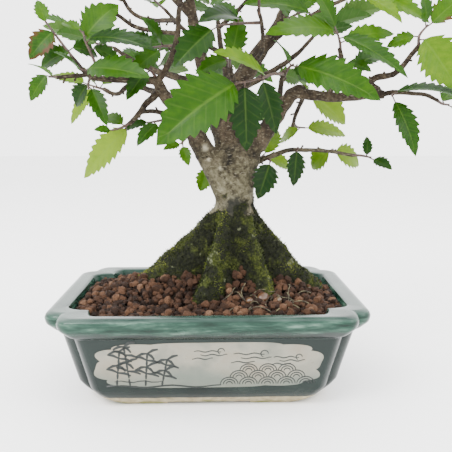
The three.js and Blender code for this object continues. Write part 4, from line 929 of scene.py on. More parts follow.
for at, radius in KNOTS:
    ball_points, ball_faces = lump_form(3)
    first = len(wood_points)
    for p in ball_points:
        swell = 1 + 0.25 * noise.noise(p * 1.6 + Vector(at))
        wood_points.append(Vector(at) + Vector((p.x, p.y * 0.9, p.z * 0.8)) * radius * swell)
    wood_faces += [tuple(first + i for i in face) for face in ball_faces]
tree = made_piece("tree_bark", [place(*p) for p in wood_points], wood_faces)
take_up(tree)
merge = tree.modifiers.new("grown_together", "REMESH")
merge.mode = "VOXEL"
merge.voxel_size = BARK_VOXEL
bpy.ops.object.modifier_apply(modifier=merge.name)
soften = tree.modifiers.new("soften", "SMOOTH")
soften.factor, soften.iterations = 0.5, 3
bpy.ops.object.modifier_apply(modifier=soften.name)

# Bare spurs along the branches, each with a bud at its end
SPUR_STEP, SPUR_RADII = 5, (0.6, 0.45, 0.62, 0.15)
branch_points, branch_faces = [], []
draw = draws(50)
for limb_index, route, start, end in thin_limbs:
    closed_tube(branch_points, branch_faces, limb_rings(limb_index, route, start, end, 9, 8))
    curve = curve_through([Vector(p) for p in route], 8)
    for k in range(6, len(curve) - 4, SPUR_STEP):
        spot, way = curve[k][0], (curve[k + 1][0] - curve[k][0]).normalized()
        side = Matrix.Rotation(2.4 * k + limb_index, 3, way) @ way.orthogonal().normalized()
        reach = (side + 0.6 * way).normalized() * (start / 2 + 1.2 + 1.8 * draw())
        spur = [spot, spot + 0.55 * reach, spot + 0.85 * reach, spot + reach]
        closed_tube(branch_points, branch_faces, tube_rings(spur, SPUR_RADII, 6))
branches = made_piece("branches", [place(*p) for p in branch_points], branch_faces)
take_up(branches)
tree.select_set(True)
bpy.context.view_layer.objects.active = tree
bpy.ops.object.join()


SEEN_ROOTS, CREST_SPREAD = ROOTS[:3] + ROOTS[5:], 13


def ridge_light(x, y):
    """How near a place is to the crest of one of the roots at the front and sides, for the painted
    highlight on their moss.
    """
    angle = math.atan2(y - TRUNK_Y, x - TRUNK_X)
    offs = [off_root(angle, heading) / CREST_SPREAD for heading, _, _ in SEEN_ROOTS]
    return max(math.exp(-(off**2)) for off in offs)


# Marks on the trunk's front, as place and size: pale knobs, scars of lost twigs, a dark patch
PALE_KNOBS = [((5.7, -9, 117), 1.9), ((-1.7, -9, 128), 2), ((0.5, -8, 122), 1.3)]
RING_SCARS = [((19.3, -7, 101.7), 2.6), ((7.2, -6, 102.5), 2.2), ((22, -5, 108), 1.8)]
DARK_PATCH = (14, -8, 96)
moss_of, crest_highlight_of, knob_of, bark_places = [], [], [], []
bark_normals = [vertex.normal.copy() for vertex in tree.data.vertices]
for vertex, normal in zip(tree.data.vertices, bark_normals):
    p = (vertex.co - POT_MIDDLE) / MM
    patch = noise.noise(p / 9) + 0.5 * noise.noise(p / 3.5)
    height = 101 + 9 * patch + 5 * noise.noise(Vector((p.x / 6, p.y / 6, 1)))
    moss = min(1, max(0, (height - p.z) / 10))
    # Painted highlight: moss on the crests of the roots at the front and sides is made paler,
    # fading out up the flare
    crest_highlight_of.append(ridge_light(p.x, p.y) * min(1, max(0, (104 - p.z) / 22)))
    moss_of.append(moss * (0.72 + 0.28 * min(1, max(0, 1 + 1.6 * patch))))
    rough = 0.16 * noise.noise(p / 1.3) * min(1, max(0.25, (112 - p.z) / 20))
    rough += moss * (0.35 * noise.noise(p / 0.9) + 0.3 * noise.noise(p / 2.1))
    knob = 0
    if 92 < p.z < 132 and p.y < 2:
        for at, size in PALE_KNOBS:
            knob = max(knob, math.exp(-(((p - Vector(at)).length / size) ** 4)))
        for at, size in RING_SCARS:
            rough += 0.9 * math.exp(-((((p - Vector(at)).length - size) / 0.6) ** 2))
        rough += 0.9 * knob
    knob_of.append(knob)
    bark_places.extend(vertex.co + normal * rough * MM)
tree.data.vertices.foreach_set("co", bark_places)
tree.data.update()
mark_points(tree, moss=moss_of, crest=crest_highlight_of, knob=knob_of)

bark = Finish("grey_bark", Roughness=0.88, Specular_IOR_Level=0.2)
bark_height = bark.axis("Z")
bark_grain = bark.here.grain(420, 5, 0.65)
bark_fine = bark.here.grain(2200, 3)
bark_patch = bark.here.grain(110, 3)
dashes = bark.stretched(1, 1, 3.4).grain(520, 2).step(0.6, 0.68)
bark_base = (0.55 * bark_patch + 0.6 * bark_grain).ramp(
    (0.4, (0.0043, 0.0034, 0.0017)), (0.5, (0.0229, 0.0187, 0.0102)),
    (0.6, (0.0638, 0.0561, 0.0323)), (0.74, (0.136, 0.1241, 0.0808)),
)
branch_base = (0.5 * bark_patch + 0.6 * bark_grain).ramp(
    (0.38, (0.0043, 0.0024, 0.0013)), (0.55, (0.0153, 0.0085, 0.0047)),
    (0.72, (0.0467, 0.0306, 0.0179)),
)
is_branch = (bark_height + 0.03 * (bark_patch - 0.5)).step(0.112, 0.138)
bark_colour = (0.85 * is_branch).mix(bark_base, branch_base)
bark_colour = (dashes * 0.4).mix(bark_colour, (0.2, 0.18, 0.13))
patch_ends = {0: bark.here, 1: place(*DARK_PATCH)}
dark_at = bark.here.node("VectorMath", {"operation": "DISTANCE"}, patch_ends, 1)
dark_patch = (dark_at + 0.008 * (bark_grain - 0.5)).step(0.0095, 0.003)
bark_colour = (0.85 * dark_patch).mix(bark_colour, (0.006, 0.007, 0.006))
pale_knob = bark.marked("knob") * bark_grain.step(0.32, 0.6)
bark_colour = pale_knob.mix(bark_colour, (0.22, 0.2, 0.14))
moss_mark, crest_highlight_mark = bark.marked("moss"), bark.marked("crest")
moss_grain = bark.here.grain(900, 4, 0.7)
moss_dark = moss_grain.ramp(
    (0.3, (0.0007, 0.001, 0.0003)), (0.5, (0.0042, 0.0052, 0.0014)), (0.7, (0.014, 0.0161, 0.0035))
)
moss_light = moss_grain.ramp(
    (0.3, (0.0056, 0.0077, 0.001)), (0.5, (0.021, 0.0273, 0.0031)), (0.72, (0.0595, 0.0665, 0.0105))
)
# Pale yellow-green moss in patches and pale lichen, both also paler on the root crests, which is
# painted highlight
pale_moss_and_highlight = (0.12 * crest_highlight_mark + 1.9 * (bark.here.grain(130, 4, 0.6) - 0.42)).step(0.16, 0.5)
lichen = (bark.here.grain(160, 4) + 0.08 * crest_highlight_mark).step(0.68, 0.76)
moss_colour = lichen.mix(pale_moss_and_highlight.mix(moss_dark, moss_light), (0.075, 0.082, 0.045))
moss_cover = (moss_mark + 0.6 * (moss_grain - 0.5)).step(0.35, 0.6)
bark_material = bark.wear(
    Base_Color=moss_cover.mix(bark_colour, moss_colour),
    Normal=(bark_grain + 0.35 * bark_fine + moss_cover * moss_grain).bump(0.0009, 0.6),
)
tree.data.materials.clear()
tree.data.materials.append(bark_material)
rounded(tree, 75)
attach(tree, "root")
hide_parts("tree")


# Moss tufts. Short pointed shoots stand all over the flare, most of them dark, with yellow-green
# patches, so that its outline is furry and not smooth.
moss_finish = Finish("moss", Roughness=0.9, Specular_IOR_Level=0.1)
tuft_grain = moss_finish.here.grain(170, 4)
moss_material = moss_finish.wear(
    Base_Color=(0.55 * moss_finish.marked("tone") + 1.1 * (tuft_grain - 0.25)).ramp(
        (0.34, (0.001, 0.0015, 0.0006)), (0.55, (0.006, 0.0085, 0.0015)),
        (0.72, (0.022, 0.032, 0.003)), (0.98, (0.12, 0.135, 0.025)),
    )
)
TUFTS, TUFTED_MOSS = 11000, 0.35
TUFT_HEIGHT, TUFT_EXTRA_HEIGHT = 0.6, 1.1
TUFT_TURNS = (0, 2.094, 4.189)
TUFT_FACES = [(0, 1, 3), (1, 2, 3), (2, 0, 3), (2, 1, 0)]
tuft_points, tuft_faces, tuft_tones = [], [], []
draw = draws(51)
tree_vertices = tree.data.vertices
tuft_normals = [vertex.normal.copy() for vertex in tree_vertices]
mossy = []
for k, (vertex, moss) in enumerate(zip(tree_vertices, moss_of)):
    p = (vertex.co - POT_MIDDLE) / MM
    if moss > TUFTED_MOSS and soil_height(p.x, p.y) < p.z:
        mossy.append(k)
for _ in range(TUFTS):
    k = mossy[int(draw() * len(mossy))]
    foot, normal = tree_vertices[k].co / MM, tuft_normals[k]
    lean = Vector((draw() - 0.5, draw() - 0.5, draw()))
    way = (normal + 0.9 * lean).normalized()
    side = way.orthogonal().normalized() * (0.2 + 0.2 * draw())
    other = way.cross(side)
    first, height = len(tuft_points), TUFT_HEIGHT + TUFT_EXTRA_HEIGHT * draw() ** 2
    for turn in TUFT_TURNS:
        corner = side * math.cos(turn) + other * math.sin(turn)
        tuft_points.append((foot - 0.3 * normal + corner) * MM)
    tuft_points.append((foot + way * height) * MM)
    # Painted highlight: tufts on the crests of the front and side roots get a paler tone, besides
    # the real patches
    patch = noise.noise(foot / 11) + 0.35 * crest_highlight_of[k]
    tuft_tones += [max(0, 0.3 + 0.4 * draw() + 0.7 * patch)] * 4
    tuft_faces += [tuple(first + corner for corner in face) for face in TUFT_FACES]
tufts = made_piece("moss_tufts", tuft_points, tuft_faces, moss_material)
mark_points(tufts, tone=tuft_tones)
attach(tufts, "root")

# Root threads. Fine pale roots that come out between the granules at the right and the front,
# and arch over them from one end to the other.
thread_finish = Finish("root_thread", Roughness=0.8)
thread_grain = thread_finish.here.grain(400)
thread_material = thread_finish.wear(
    Base_Color=thread_grain.ramp((0.4, (0.012, 0.009, 0.004)), (0.65, (0.1, 0.085, 0.04)))
)
THREADS, THREAD_RADIUS = 26, 0.28
thread_points, thread_faces = [], []
draw = draws(52)
for _ in range(THREADS):
    x, y, heading = 14 + 46 * draw(), -41 + 24 * draw(), 6.3 * draw()
    length, arch = 5 + 9 * draw(), 1 + 1.6 * draw()
    spots = []
    for step in range(5):
        share = step / 4
        at = (x + length * share * math.cos(heading), y + length * share * math.sin(heading))
        spots.append(Vector((*at, soil_height(*at) + 1.1 + arch * 4 * share * (1 - share))))
        heading += 0.5 * (draw() - 0.5)
    if in_pot(*spots[0].xy, 4) and in_pot(*spots[-1].xy, 4):
        curve = [spot for spot, _ in curve_through(spots, 4)]
        closed_tube(thread_points, thread_faces, tube_rings(curve, [THREAD_RADIUS] * len(curve), 5))
thread_places = [place(*p) for p in thread_points]
threads = made_piece("root_threads", thread_places, thread_faces, thread_material)
rounded(threads, 75)
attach(threads, "root")


# Leafy shoots. Each is one young brown twig with its leaves, alternate, on short stalks: thin
# glossy blades with a pale midrib, straight side veins that each end in a tooth, and paler
# undersides. Every leaf is laid where its solid is, by the same rules and the same draws.
# Each front shoot has its twig's places, then leaves: base, tip, turn, aspect and tone. The tone
# is how light a leaf's green is, and it holds painted light as well: the leaves at the back that
# the light shines through are set pale.
FRONT_SPRAYS = {
    "left_tip": ([(-63, -25, 168.5), (-70, -27, 178), (-77, -30, 188)], [
        ((-74, -29, 183), (-85, -31, 170), 75, 0.7, 0.45),
        ((-67, -27, 174), (-82, -22, 167), 60, 0.7, 0.4),
        ((-66, -22, 177), (-56, -11, 174), 60, 0.7, 0.35),
        ((-77, -30, 188), (-82, -24, 199), 40, 0.5, 0.6),
    ]),
    "left_upper": ([(-53, -22, 162), (-56, -22, 171), (-60, -21, 180), (-61, -21, 185)], [
        ((-60, -19, 183), (-46, -14, 197), 70, 0.8, 0.55),
        ((-57, -25, 181), (-24, -38, 173), 35, 0.42, 0.3),
        ((-56, -18, 177), (-44, -8, 171), 55, 0.6, 0.45),
        ((-63, -20, 186), (-73, -14, 190), 50, 0.5, 0.6),
    ]),
    "left_low": ([(-71, -27.5, 162.5), (-77, -28, 162.5)], [
        ((-78, -28, 163), (-87, -25, 151), 65, 0.6, 0.5),
        ((-75, -30, 163), (-83, -42, 167), 20, 0.5, 0.6),
    ]),
    "left_hang": ([(-57.5, -23.5, 163.5), (-59, -22, 160), (-59, -22, 157)], [
        ((-60, -21, 159), (-67, -14, 149), 60, 0.75, 0.3),
        ((-57, -24, 157), (-49, -30, 139), 65, 0.42, 0.45),
    ]),
    "left_front": ([(-50, -20, 162), (-56, -27, 164.5), (-59, -31, 165.5)], [
        ((-57, -32, 166), (-26, -48, 160), 50, 0.45, 0.5),
        ((-61, -33, 166), (-70, -45, 172), 40, 0.55, 0.4),
    ]),
    "low_left": ([(-37, -23.5, 142), (-42, -26, 138.5), (-47, -28, 137)], [
        ((-41, -21, 137), (-66, -7, 112), 60, 0.4, 0.95),
        ((-48, -29, 137), (-55, -36, 137), 60, 0.6, 0.5),
        ((-43, -22, 140), (-54, -10, 144), 50, 0.5, 0.6),
    ]),
    "left_inner": ([(-18, -11, 144), (-24, -16, 142), (-29, -19, 141)], [
        ((-26, -20, 140), (-35, -28, 129), 55, 0.5, 0.4),
        ((-31, -19, 141), (-44, -17, 136), 45, 0.45, 0.3),
    ]),
    "left_back": ([(-55, 15, 159), (-62, 17, 161), (-68, 20, 163)], [
        ((-64, 20, 160), (-80, 30, 141), 60, 0.34, 0.9),
        ((-59, 19, 163), (-48, 30, 168), 50, 0.55, 0.7),
        ((-62, 13, 163), (-70, 2, 170), 50, 0.5, 0.8),
        ((-70, 21, 164), (-90, 26, 168), 40, 0.5, 0.8),
    ]),
    "left_spur": ([(-26, -16, 163), (-28, -22, 166), (-29, -24, 166)], [
        ((-30, -25, 165), (-39, -33, 151), 65, 0.5, 0.35),
    ]),
    "inner_left": ([(-16, -21, 178), (-22, -18, 178.5), (-29, -15, 178)], [
        ((-24, -19, 176), (-38, -24, 164), 60, 0.55, 0.5),
        ((-29, -13, 179), (-42, -6, 186), 55, 0.6, 0.4),
        ((-23, -20, 180), (-32, -30, 190), 55, 0.5, 0.4),
    ]),
    "upper_front": ([(26, -26, 188.5), (14, -29, 187.5), (4, -31, 186)], [
        ((2, -32, 184), (-16, -38, 166), 70, 0.58, 0.35),
        ((15, -32, 189), (-4, -52, 184), 50, 0.5, 0.25),
        ((13, -26, 189), (4, -14, 200), 60, 0.55, 0.4),
    ]),
    "upper_front_tip": ([(24.5, -32, 191.5), (24, -38, 196), (24, -41, 198)], [
        ((23, -43, 198), (1, -58, 190), 45, 0.5, 0.4),
        ((26, -42, 199), (44, -54, 202), 45, 0.5, 0.3),
        ((23, -41, 200), (16, -46, 218), 70, 0.5, 0.5),
    ]),
    "centre_front": ([(37, -30, 164), (31, -38, 163), (24, -43, 160.5), (17, -48, 158.5),
        (13, -50, 158)], [
        ((12, -52, 157), (-23, -58, 130), 66, 0.6, 0.5),
        ((26, -45, 162), (2, -58, 170), 40, 0.5, 0.78),
        ((17, -47, 156), (18, -46, 127), 90, 0.52, 0.2),
        ((26, -40, 159), (33, -36, 135), 80, 0.45, 0.22),
    ]),
    "right_front": ([(36.5, -26, 161), (39, -31, 166.5), (41, -34, 168)], [
        ((43, -35, 167), (80, -47, 150), 62, 0.46, 0.5),
        ((38, -35, 170), (30, -48, 177), 45, 0.5, 0.3),
    ]),
    "right_upper": ([(65, -26, 172), (64, -30, 178), (62, -31, 184)], [
        ((60, -32, 184), (26, -47, 180), 50, 0.44, 0.6),
        ((65, -32, 181), (92, -48, 160), 40, 0.34, 0.45),
        ((61, -31, 186), (48, -30, 206), 60, 0.34, 0.5),
        ((67, -28, 180), (92, -24, 184), 60, 0.42, 0.6),
    ]),
    "right_top": ([(70, -12, 203.5), (77, -12, 206), (86, -11, 207)], [
        ((79, -15, 203), (92, -36, 187), 45, 0.34, 0.8),
        ((87, -12, 205), (110, -22, 189), 50, 0.42, 0.7),
        ((82, -8, 208), (96, 8, 216), 40, 0.5, 0.85),
        ((88, -11, 210), (110, -9, 220), 45, 0.48, 0.75),
    ]),
    "right_tip": ([(102.5, -29.5, 177), (102, -31, 182), (106, -31, 187)], [
        ((104, -32, 180), (121, -32, 157), 80, 0.75, 0.75),
        ((100, -29, 182), (88, -22, 177), 60, 0.6, 0.6),
        ((108, -31, 188), (124, -28, 201), 60, 0.55, 0.6),
        ((104, -33, 188), (98, -42, 201), 60, 0.5, 0.5),
    ]),
    "right_mid": ([(94, -17.5, 155.5), (93, -21, 154.5), (92, -24, 154)], [
        ((94, -26, 156), (126, -32, 151), 25, 0.36, 0.35),
        ((94, -23, 151), (104, -28, 124), 65, 0.38, 0.4),
    ]),
    "right_inner": ([(66, -21, 167), (70, -16, 169.5), (74, -12, 170)], [
        ((71, -18, 171), (82, -21, 166), 55, 0.6, 0.5),
        ((76, -10, 170), (94, 3, 177), 55, 0.45, 0.4),
        ((72, -12, 168), (78, 2, 160), 55, 0.5, 0.6),
    ]),
    "right_outer": ([(116, -19, 152.5), (120, -17, 150.5), (124, -16, 150)], [
        ((125, -17, 149), (140, -24, 141), 55, 0.5, 0.45),
        ((121, -15, 152), (132, -4, 160), 50, 0.5, 0.55),
    ]),
    "right_low": ([(49, 24, 142), (52, 29, 139.5), (57, 31, 139)], [
        ((59, 31, 139), (84, 44, 134), 55, 0.42, 0.9),
        ((53, 32, 138), (44, 50, 130), 60, 0.5, 0.85),
    ]),
    "right_back": ([(51.5, 10, 154), (54, 14, 156.5), (57, 17, 157)], [
        ((59, 18, 156), (80, 28, 141), 62, 0.62, 0.9),
        ((55, 18, 158), (50, 38, 160), 50, 0.5, 0.85),
    ]),
    "lower_tip": ([(75, -13, 124.2), (80, -14, 124), (85, -15, 123)], [
        ((86, -16, 122), (94, -22, 117), 60, 0.6, 0.25),
        ((83, -13, 124.5), (84, -8, 134), 70, 0.5, 0.3),
    ]),
    "lower_mid": ([(64, -12, 126), (66, -7, 127), (67, -4, 127)], [
        ((69, -3, 126), (84, 8, 118), 62, 0.66, 0.9),
        ((65, -2, 126), (58, 10, 116), 62, 0.66, 0.8),
    ]),
    "lower_inner": ([(47, -8, 126.8), (47, -11.5, 128), (46.5, -12.5, 127.5)], [
        ((46, -13.5, 126), (44.5, -14, 108), 88, 0.52, 0.12),
    ]),
    "base_right": ([(26, 0, 119.5), (29, 5, 122.5), (31, 9, 124)], [
        ((32, 11, 125), (40, 28, 138), 60, 0.5, 0.8),
        ((33, 9, 123), (50, 22, 117), 60, 0.5, 0.85),
    ]),
    "base_front": ([(31, -1.8, 122.4), (33, -5, 121.5), (33, -6.5, 120.5)], [
        ((32.5, -7.5, 119), (26, -12, 101), 82, 0.66, 0.12),
    ]),
    "trunk_left": ([(8, 6, 114), (3, 15, 116), (1, 18, 116)], [
        ((0, 19, 115), (-5, 28, 102), 60, 0.6, 0.7),
    ]),
    "left_bud": ([(-10, -7.5, 135), (-13, -12, 131.5), (-14, -13, 130)], [
        ((-15, -14, 130), (-23, -18, 127), 60, 0.55, 0.6),
        ((-13, -14, 128.5), (-10, -17, 119), 75, 0.6, 0.6),
    ]),
    "centre_top": ([(35, 10, 189), (41, -2, 194), (47, -12, 196), (51, -17, 195)], [
        ((50, -19, 195), (16, -34, 196), 50, 0.44, 0.5),
        ((53, -18, 194), (62, -30, 184), 55, 0.5, 0.5),
        ((42, -4, 196), (30, -14, 208), 60, 0.5, 0.5),
        ((46, -8, 197), (58, 2, 208), 50, 0.5, 0.5),
    ]),
    "centre_mid": ([(11, -15.5, 169), (11, -21, 171.5), (11, -23, 173)], [
        ((12, -24.5, 174), (17, -24, 193), 80, 0.6, 0.5),
        ((9, -23, 171), (-6, -28, 164), 60, 0.55, 0.5),
    ]),
}
SHOOTS = [2, 2, 3, 2, 1, 3, 2, 2, 1, 1, 1, 1, 1, 1]
CROWN_MIDDLE = Vector((10, 6, 185))
LEAVES_PER_SHOOT = 6
GOLDEN_ANGLE = math.pi * (3 - math.sqrt(5))
MOST_TRIES = 6
PETIOLE = 2.6
STEM_SETBACK, STEM_DEPTH = 1.5, 0.35
PATH_DIVISIONS = 200
UP = Vector((0, 0, 1))
TWIG_LENGTH, TWIG_EXTRA_LENGTH = 19, 9
LEAF_LENGTH, LEAF_EXTRA_LENGTH = 23, 12


def path_place(route, share):
    """The place at a share of a route's length, corner to corner."""
    lengths = [(b - a).length for a, b in zip(route, route[1:])]
    run = share * sum(lengths)
    for a, b, length in zip(route, route[1:], lengths):
        if run <= length:
            return a.lerp(b, run / length)
        run -= length
    return route[-1].copy()


def path_share(route, share):
    """A share of the way, as it comes out when the route is measured in short chords."""
    spots = [path_place(route, k / PATH_DIVISIONS) for k in range(PATH_DIVISIONS + 1)]
    sums = [0]
    for a, b in zip(spots, spots[1:]):
        sums.append(sums[-1] + (b - a).length)
    goal = share * sums[-1]
    for k in range(PATH_DIVISIONS):
        if sums[k + 1] >= goal:
            return (k + (goal - sums[k]) / (sums[k + 1] - sums[k])) / PATH_DIVISIONS
    return 1


def along(route, share):
    """Place and heading at a share of a route's length."""
    heading_at = path_share(route, min(share, 0.999))
    before = path_place(route, max(0, heading_at - 0.0001))
    after = path_place(route, min(1, heading_at + 0.0001))
    return path_place(route, path_share(route, share)), (after - before).normalized()


def rooted_stem(route, base):
    """Where a leaf's stalk starts, inside its twig."""
    end = route[-1]
    corners = route[:-1] + [end + (route[-2] - end).normalized() * STEM_SETBACK]
    nearest = None
    for a, b in zip(corners, corners[1:]):
        share = min(1, max(0, (base - a).dot(b - a) / (b - a).length_squared))
        spot = a.lerp(b, share)
        if nearest is None or (spot - base).length < (nearest - base).length:
            nearest = spot
    return nearest + (nearest - base).normalized() * STEM_DEPTH


def front_leaf(spec, twig, spray, index, attempt):
    """A leaf from the list. Later tries bend it away from what it would cross."""
    base, tip = Vector(spec[0]), Vector(spec[1])
    draw = draws(spray, index, attempt)
    bend = 2.2 * attempt
    tip += Vector(((draw() - 0.5) * bend, (draw() - 0.5) * 2 * bend, (draw() - 0.5) * bend))
    turn = math.radians(spec[2])
    return {
        "stem": rooted_stem(twig, base), "base": base, "tip": tip,
        "facing": Vector((0, -math.sin(turn), math.cos(turn))),
        "width": spec[3] * (tip - base).length,
        "arch": 0.05 + 0.05 * draw(), "fold": 0.1 + 0.3 * draw(), "tone": spec[4],
    }


def crown_twig(limb_index, shoot, count, attempt):
    """A crown shoot's twig: out of its limb by the golden angle, then up and outwards."""
    draw = draws(900 + limb_index, shoot, attempt)
    share = 1 if count == 1 else 0.45 + 0.55 * shoot / (count - 1)
    point, heading = along([Vector(p) for p in CROWN_LIMBS[limb_index][0]], share)
    outward = (point - CROWN_MIDDLE).normalized()
    side = (Vector((1, 0, 0)) - heading * heading.x).normalized()
    angle = GOLDEN_ANGLE * (shoot + 3 * limb_index) + 0.9 * attempt
    way = side * math.cos(angle) + heading.cross(side) * math.sin(angle)
    if share == 1:
        way *= 0.15
    way = (way + heading * (1 if share == 1 else 0.35) + outward * 0.7).normalized()
    length = TWIG_LENGTH + TWIG_EXTRA_LENGTH * draw()
    rise = UP * 0.25 * draw() + outward * 0.3
    route = [point]
    for _ in range(3):
        route.append(route[-1] + way * (length / 3))
        way = (way + rise).normalized()
    return route


def crown_leaf(twig, spray, index, attempt):
    """A crown leaf, alternate along its twig in two ranks, with one at the tip."""
    draw = draws(spray, index, attempt)
    point, heading = along(twig, 0.2 + 0.8 * index / (LEAVES_PER_SHOOT - 1))
    outward = (point - CROWN_MIDDLE).normalized()
    lateral = heading.cross(UP).normalized()
    sign = 1 if index % 2 == 0 else -1
    spread = 0.2 if index == LEAVES_PER_SHOOT - 1 else 1.1
    way = heading + lateral * sign * (spread + 0.5 * (draw() - 0.5))
    way = (way + UP * (0.5 * (draw() - 0.6) - 0.12 * attempt)).normalized()
    length = (LEAF_LENGTH + LEAF_EXTRA_LENGTH * draw()) * (1 - 0.07 * attempt)
    length *= 0.8 if index == 0 else 1
    base = point + way * PETIOLE
    return {
        "stem": rooted_stem(twig, base), "base": base,
        "tip": base + way * length - UP * 0.16 * length,
        "facing": (UP + outward * (0.5 + 0.9 * draw())).normalized(),
        "width": (0.48 + 0.1 * draw()) * length,
        "arch": 0.04 + 0.08 * draw(), "fold": 0.08 + 0.3 * draw(),
        "tone": 0.12 + 0.62 * draws(spray, index, 77)(),
    }


def is_laid(leaf, solid_points):
    """Whether the shoot's solid has a leaf with this tip."""
    return solid_points.find(place(*leaf["tip"]))[2] < 0.1 * MM


COLUMNS = 4
BLADE_HALF = 0.13
VEIN_COUNT_SPAN = 20
# Where the teeth start and how far they run along a blade, as shares of its length, and how far
# a notch and a tooth's tip stand in and out of the blade's even outline
TEETH_START, TEETH_RUN = 0.03, 0.88
NOTCH, TOOTH = 0.84, 1.12
VEIN_GROOVE = 0.006
STALK_RADII = (0.42, 0.36, 0.34, 0.2)


def blade_outline(u):
    """Half width of a blade from its base, 0, to its tip, 1, as a share of its greatest."""
    return u**0.62 * (1 - u) / 0.34


class Shoot:
    """One shoot's mesh: points, faces with their finish, leaf coordinates and tones."""

    def __init__(self):
        self.points, self.faces, self.finishes = [], [], []
        self.charts, self.tones, self.dries = [], [], []

    def mark(self, count, chart, tone, dry):
        self.charts += [chart] * count
        self.tones += [tone] * count
        self.dries += [dry] * count

    def tube(self, places, radii, sides):
        known = len(self.points), len(self.faces)
        closed_tube(self.points, self.faces, tube_rings(places, radii, sides))
        self.mark(len(self.points) - known[0], (0.5, 0), 0.5, 0)
        self.finishes += [2] * (len(self.faces) - known[1])

    def leaf(self, leaf, draw, dry):
        """A blade of two grids that share a rim, with rows along its side veins, and a stalk."""
        run = leaf["tip"] - leaf["base"]
        length = run.length
        run.normalize()
        normal = (leaf["facing"] - run * leaf["facing"].dot(run)).normalized()
        across = run.cross(normal)
        half_width = leaf["width"] / 2
        teeth = round(3.5 + length / 9)
        wave, wave_turn = 0.012 * length, 6.3 * draw()
        rows = [(0, 0.45 / half_width, 0.6)]
        for k in range(teeth):
            start, step = TEETH_START + TEETH_RUN * k / teeth, TEETH_RUN / teeth
            profile = ((0, 1 if k == 0 else NOTCH, 0.2), (0.5, 1.01, 0.6), (0.9, TOOTH, 1))
            for share, out, vein in profile:
                edge = start + share * step
                rows.append((edge, blade_outline(edge) * out, k + vein))
        rows.append((1, 0, teeth + 0.6))
        grids = ([], [])
        for row, (edge, width, vein) in enumerate(rows):
            smooth_width = blade_outline(edge) * half_width
            middle = max(edge - 0.8 * smooth_width / length, 0.25 * edge) if edge < 1 else 1
            lines = ([], [])
            for column in range(-COLUMNS, COLUMNS + 1):
                s = abs(column) / COLUMNS
                u = middle + (edge - middle) * s
                aside = width * half_width * s
                lift = 4 * leaf["arch"] * length * u * (1 - u) + aside * leaf["fold"]
                groove = math.cos(2 * math.pi * vein) * math.sin(math.pi * min(s, 0.9))
                lift -= VEIN_GROOVE * length * groove * (1 - edge) ** 0.3
                lift += wave * math.sin(5.2 * u + wave_turn + (1.5 if column > 0 else 0)) * s**2
                spot = leaf["base"] + run * (u * length) + normal * lift
                spot += across * math.copysign(aside, column)
                shared = abs(column) == COLUMNS or row in (0, len(rows) - 1)
                for line, rise in zip(lines, (BLADE_HALF, -BLADE_HALF)):
                    if row == len(rows) - 1 and column > -COLUMNS:
                        line.append(line[0])
                    elif shared and line is lines[1]:
                        line.append(lines[0][len(line)])
                    else:
                        rib = -0.35 * (1 - u) if column == 0 and rise < 0 else 0
                        self.points.append(spot + normal * ((0 if shared else rise) + rib))
                        chart = (0.5 + 0.5 * column / COLUMNS, vein / VEIN_COUNT_SPAN)
                        self.mark(1, chart, leaf["tone"], dry)
                        line.append(len(self.points) - 1)
            for grid, line in zip(grids, lines):
                grid.append(line)
        for side, grid in enumerate(grids):
            for low, high in zip(grid, grid[1:]):
                for j in range(2 * COLUMNS):
                    face = list(dict.fromkeys((low[j], low[j + 1], high[j + 1], high[j])))
                    self.faces.append(tuple(face if side == 0 else face[::-1]))
                    self.finishes.append(side)
        stem_middle = (leaf["stem"] + leaf["base"]) / 2 - Vector((0, 0, 0.15))
        into = leaf["base"] + run * 1.2 + normal * (4 * leaf["arch"] * 1.2 - 0.3)
        stalk = [leaf["stem"], stem_middle, leaf["base"] - normal * 0.1, into]
        self.tube(stalk, STALK_RADII, 5)

    def twig(self, route):
        curve = curve_through(route, 4)
        radii = []
        for _, share in curve:
            radii.append(0.85 - 0.4 * share + 0.12 * max(0, math.sin(14 * share)) ** 4)
        self.tube([spot for spot, _ in curve], radii, 7)

    def settle(self, node):
        name = "leaves" + node[len("spray"):]
        points = [place(*p) for p in self.points]
        piece = made_piece(name, points, self.faces, leaf_top, leaf_under, twig_bark)
        mesh = piece.data
        mesh.polygons.foreach_set("material_index", self.finishes)
        chart = mesh.uv_layers.new(name="leaf")
        for loop in mesh.loops:
            chart.data[loop.index].uv = self.charts[loop.vertex_index]
        mark_points(piece, tone=self.tones, dry=self.dries)
        rounded(piece, 65)
        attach(piece, "root")
        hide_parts(node)


GLOW_SHARE = 0.35


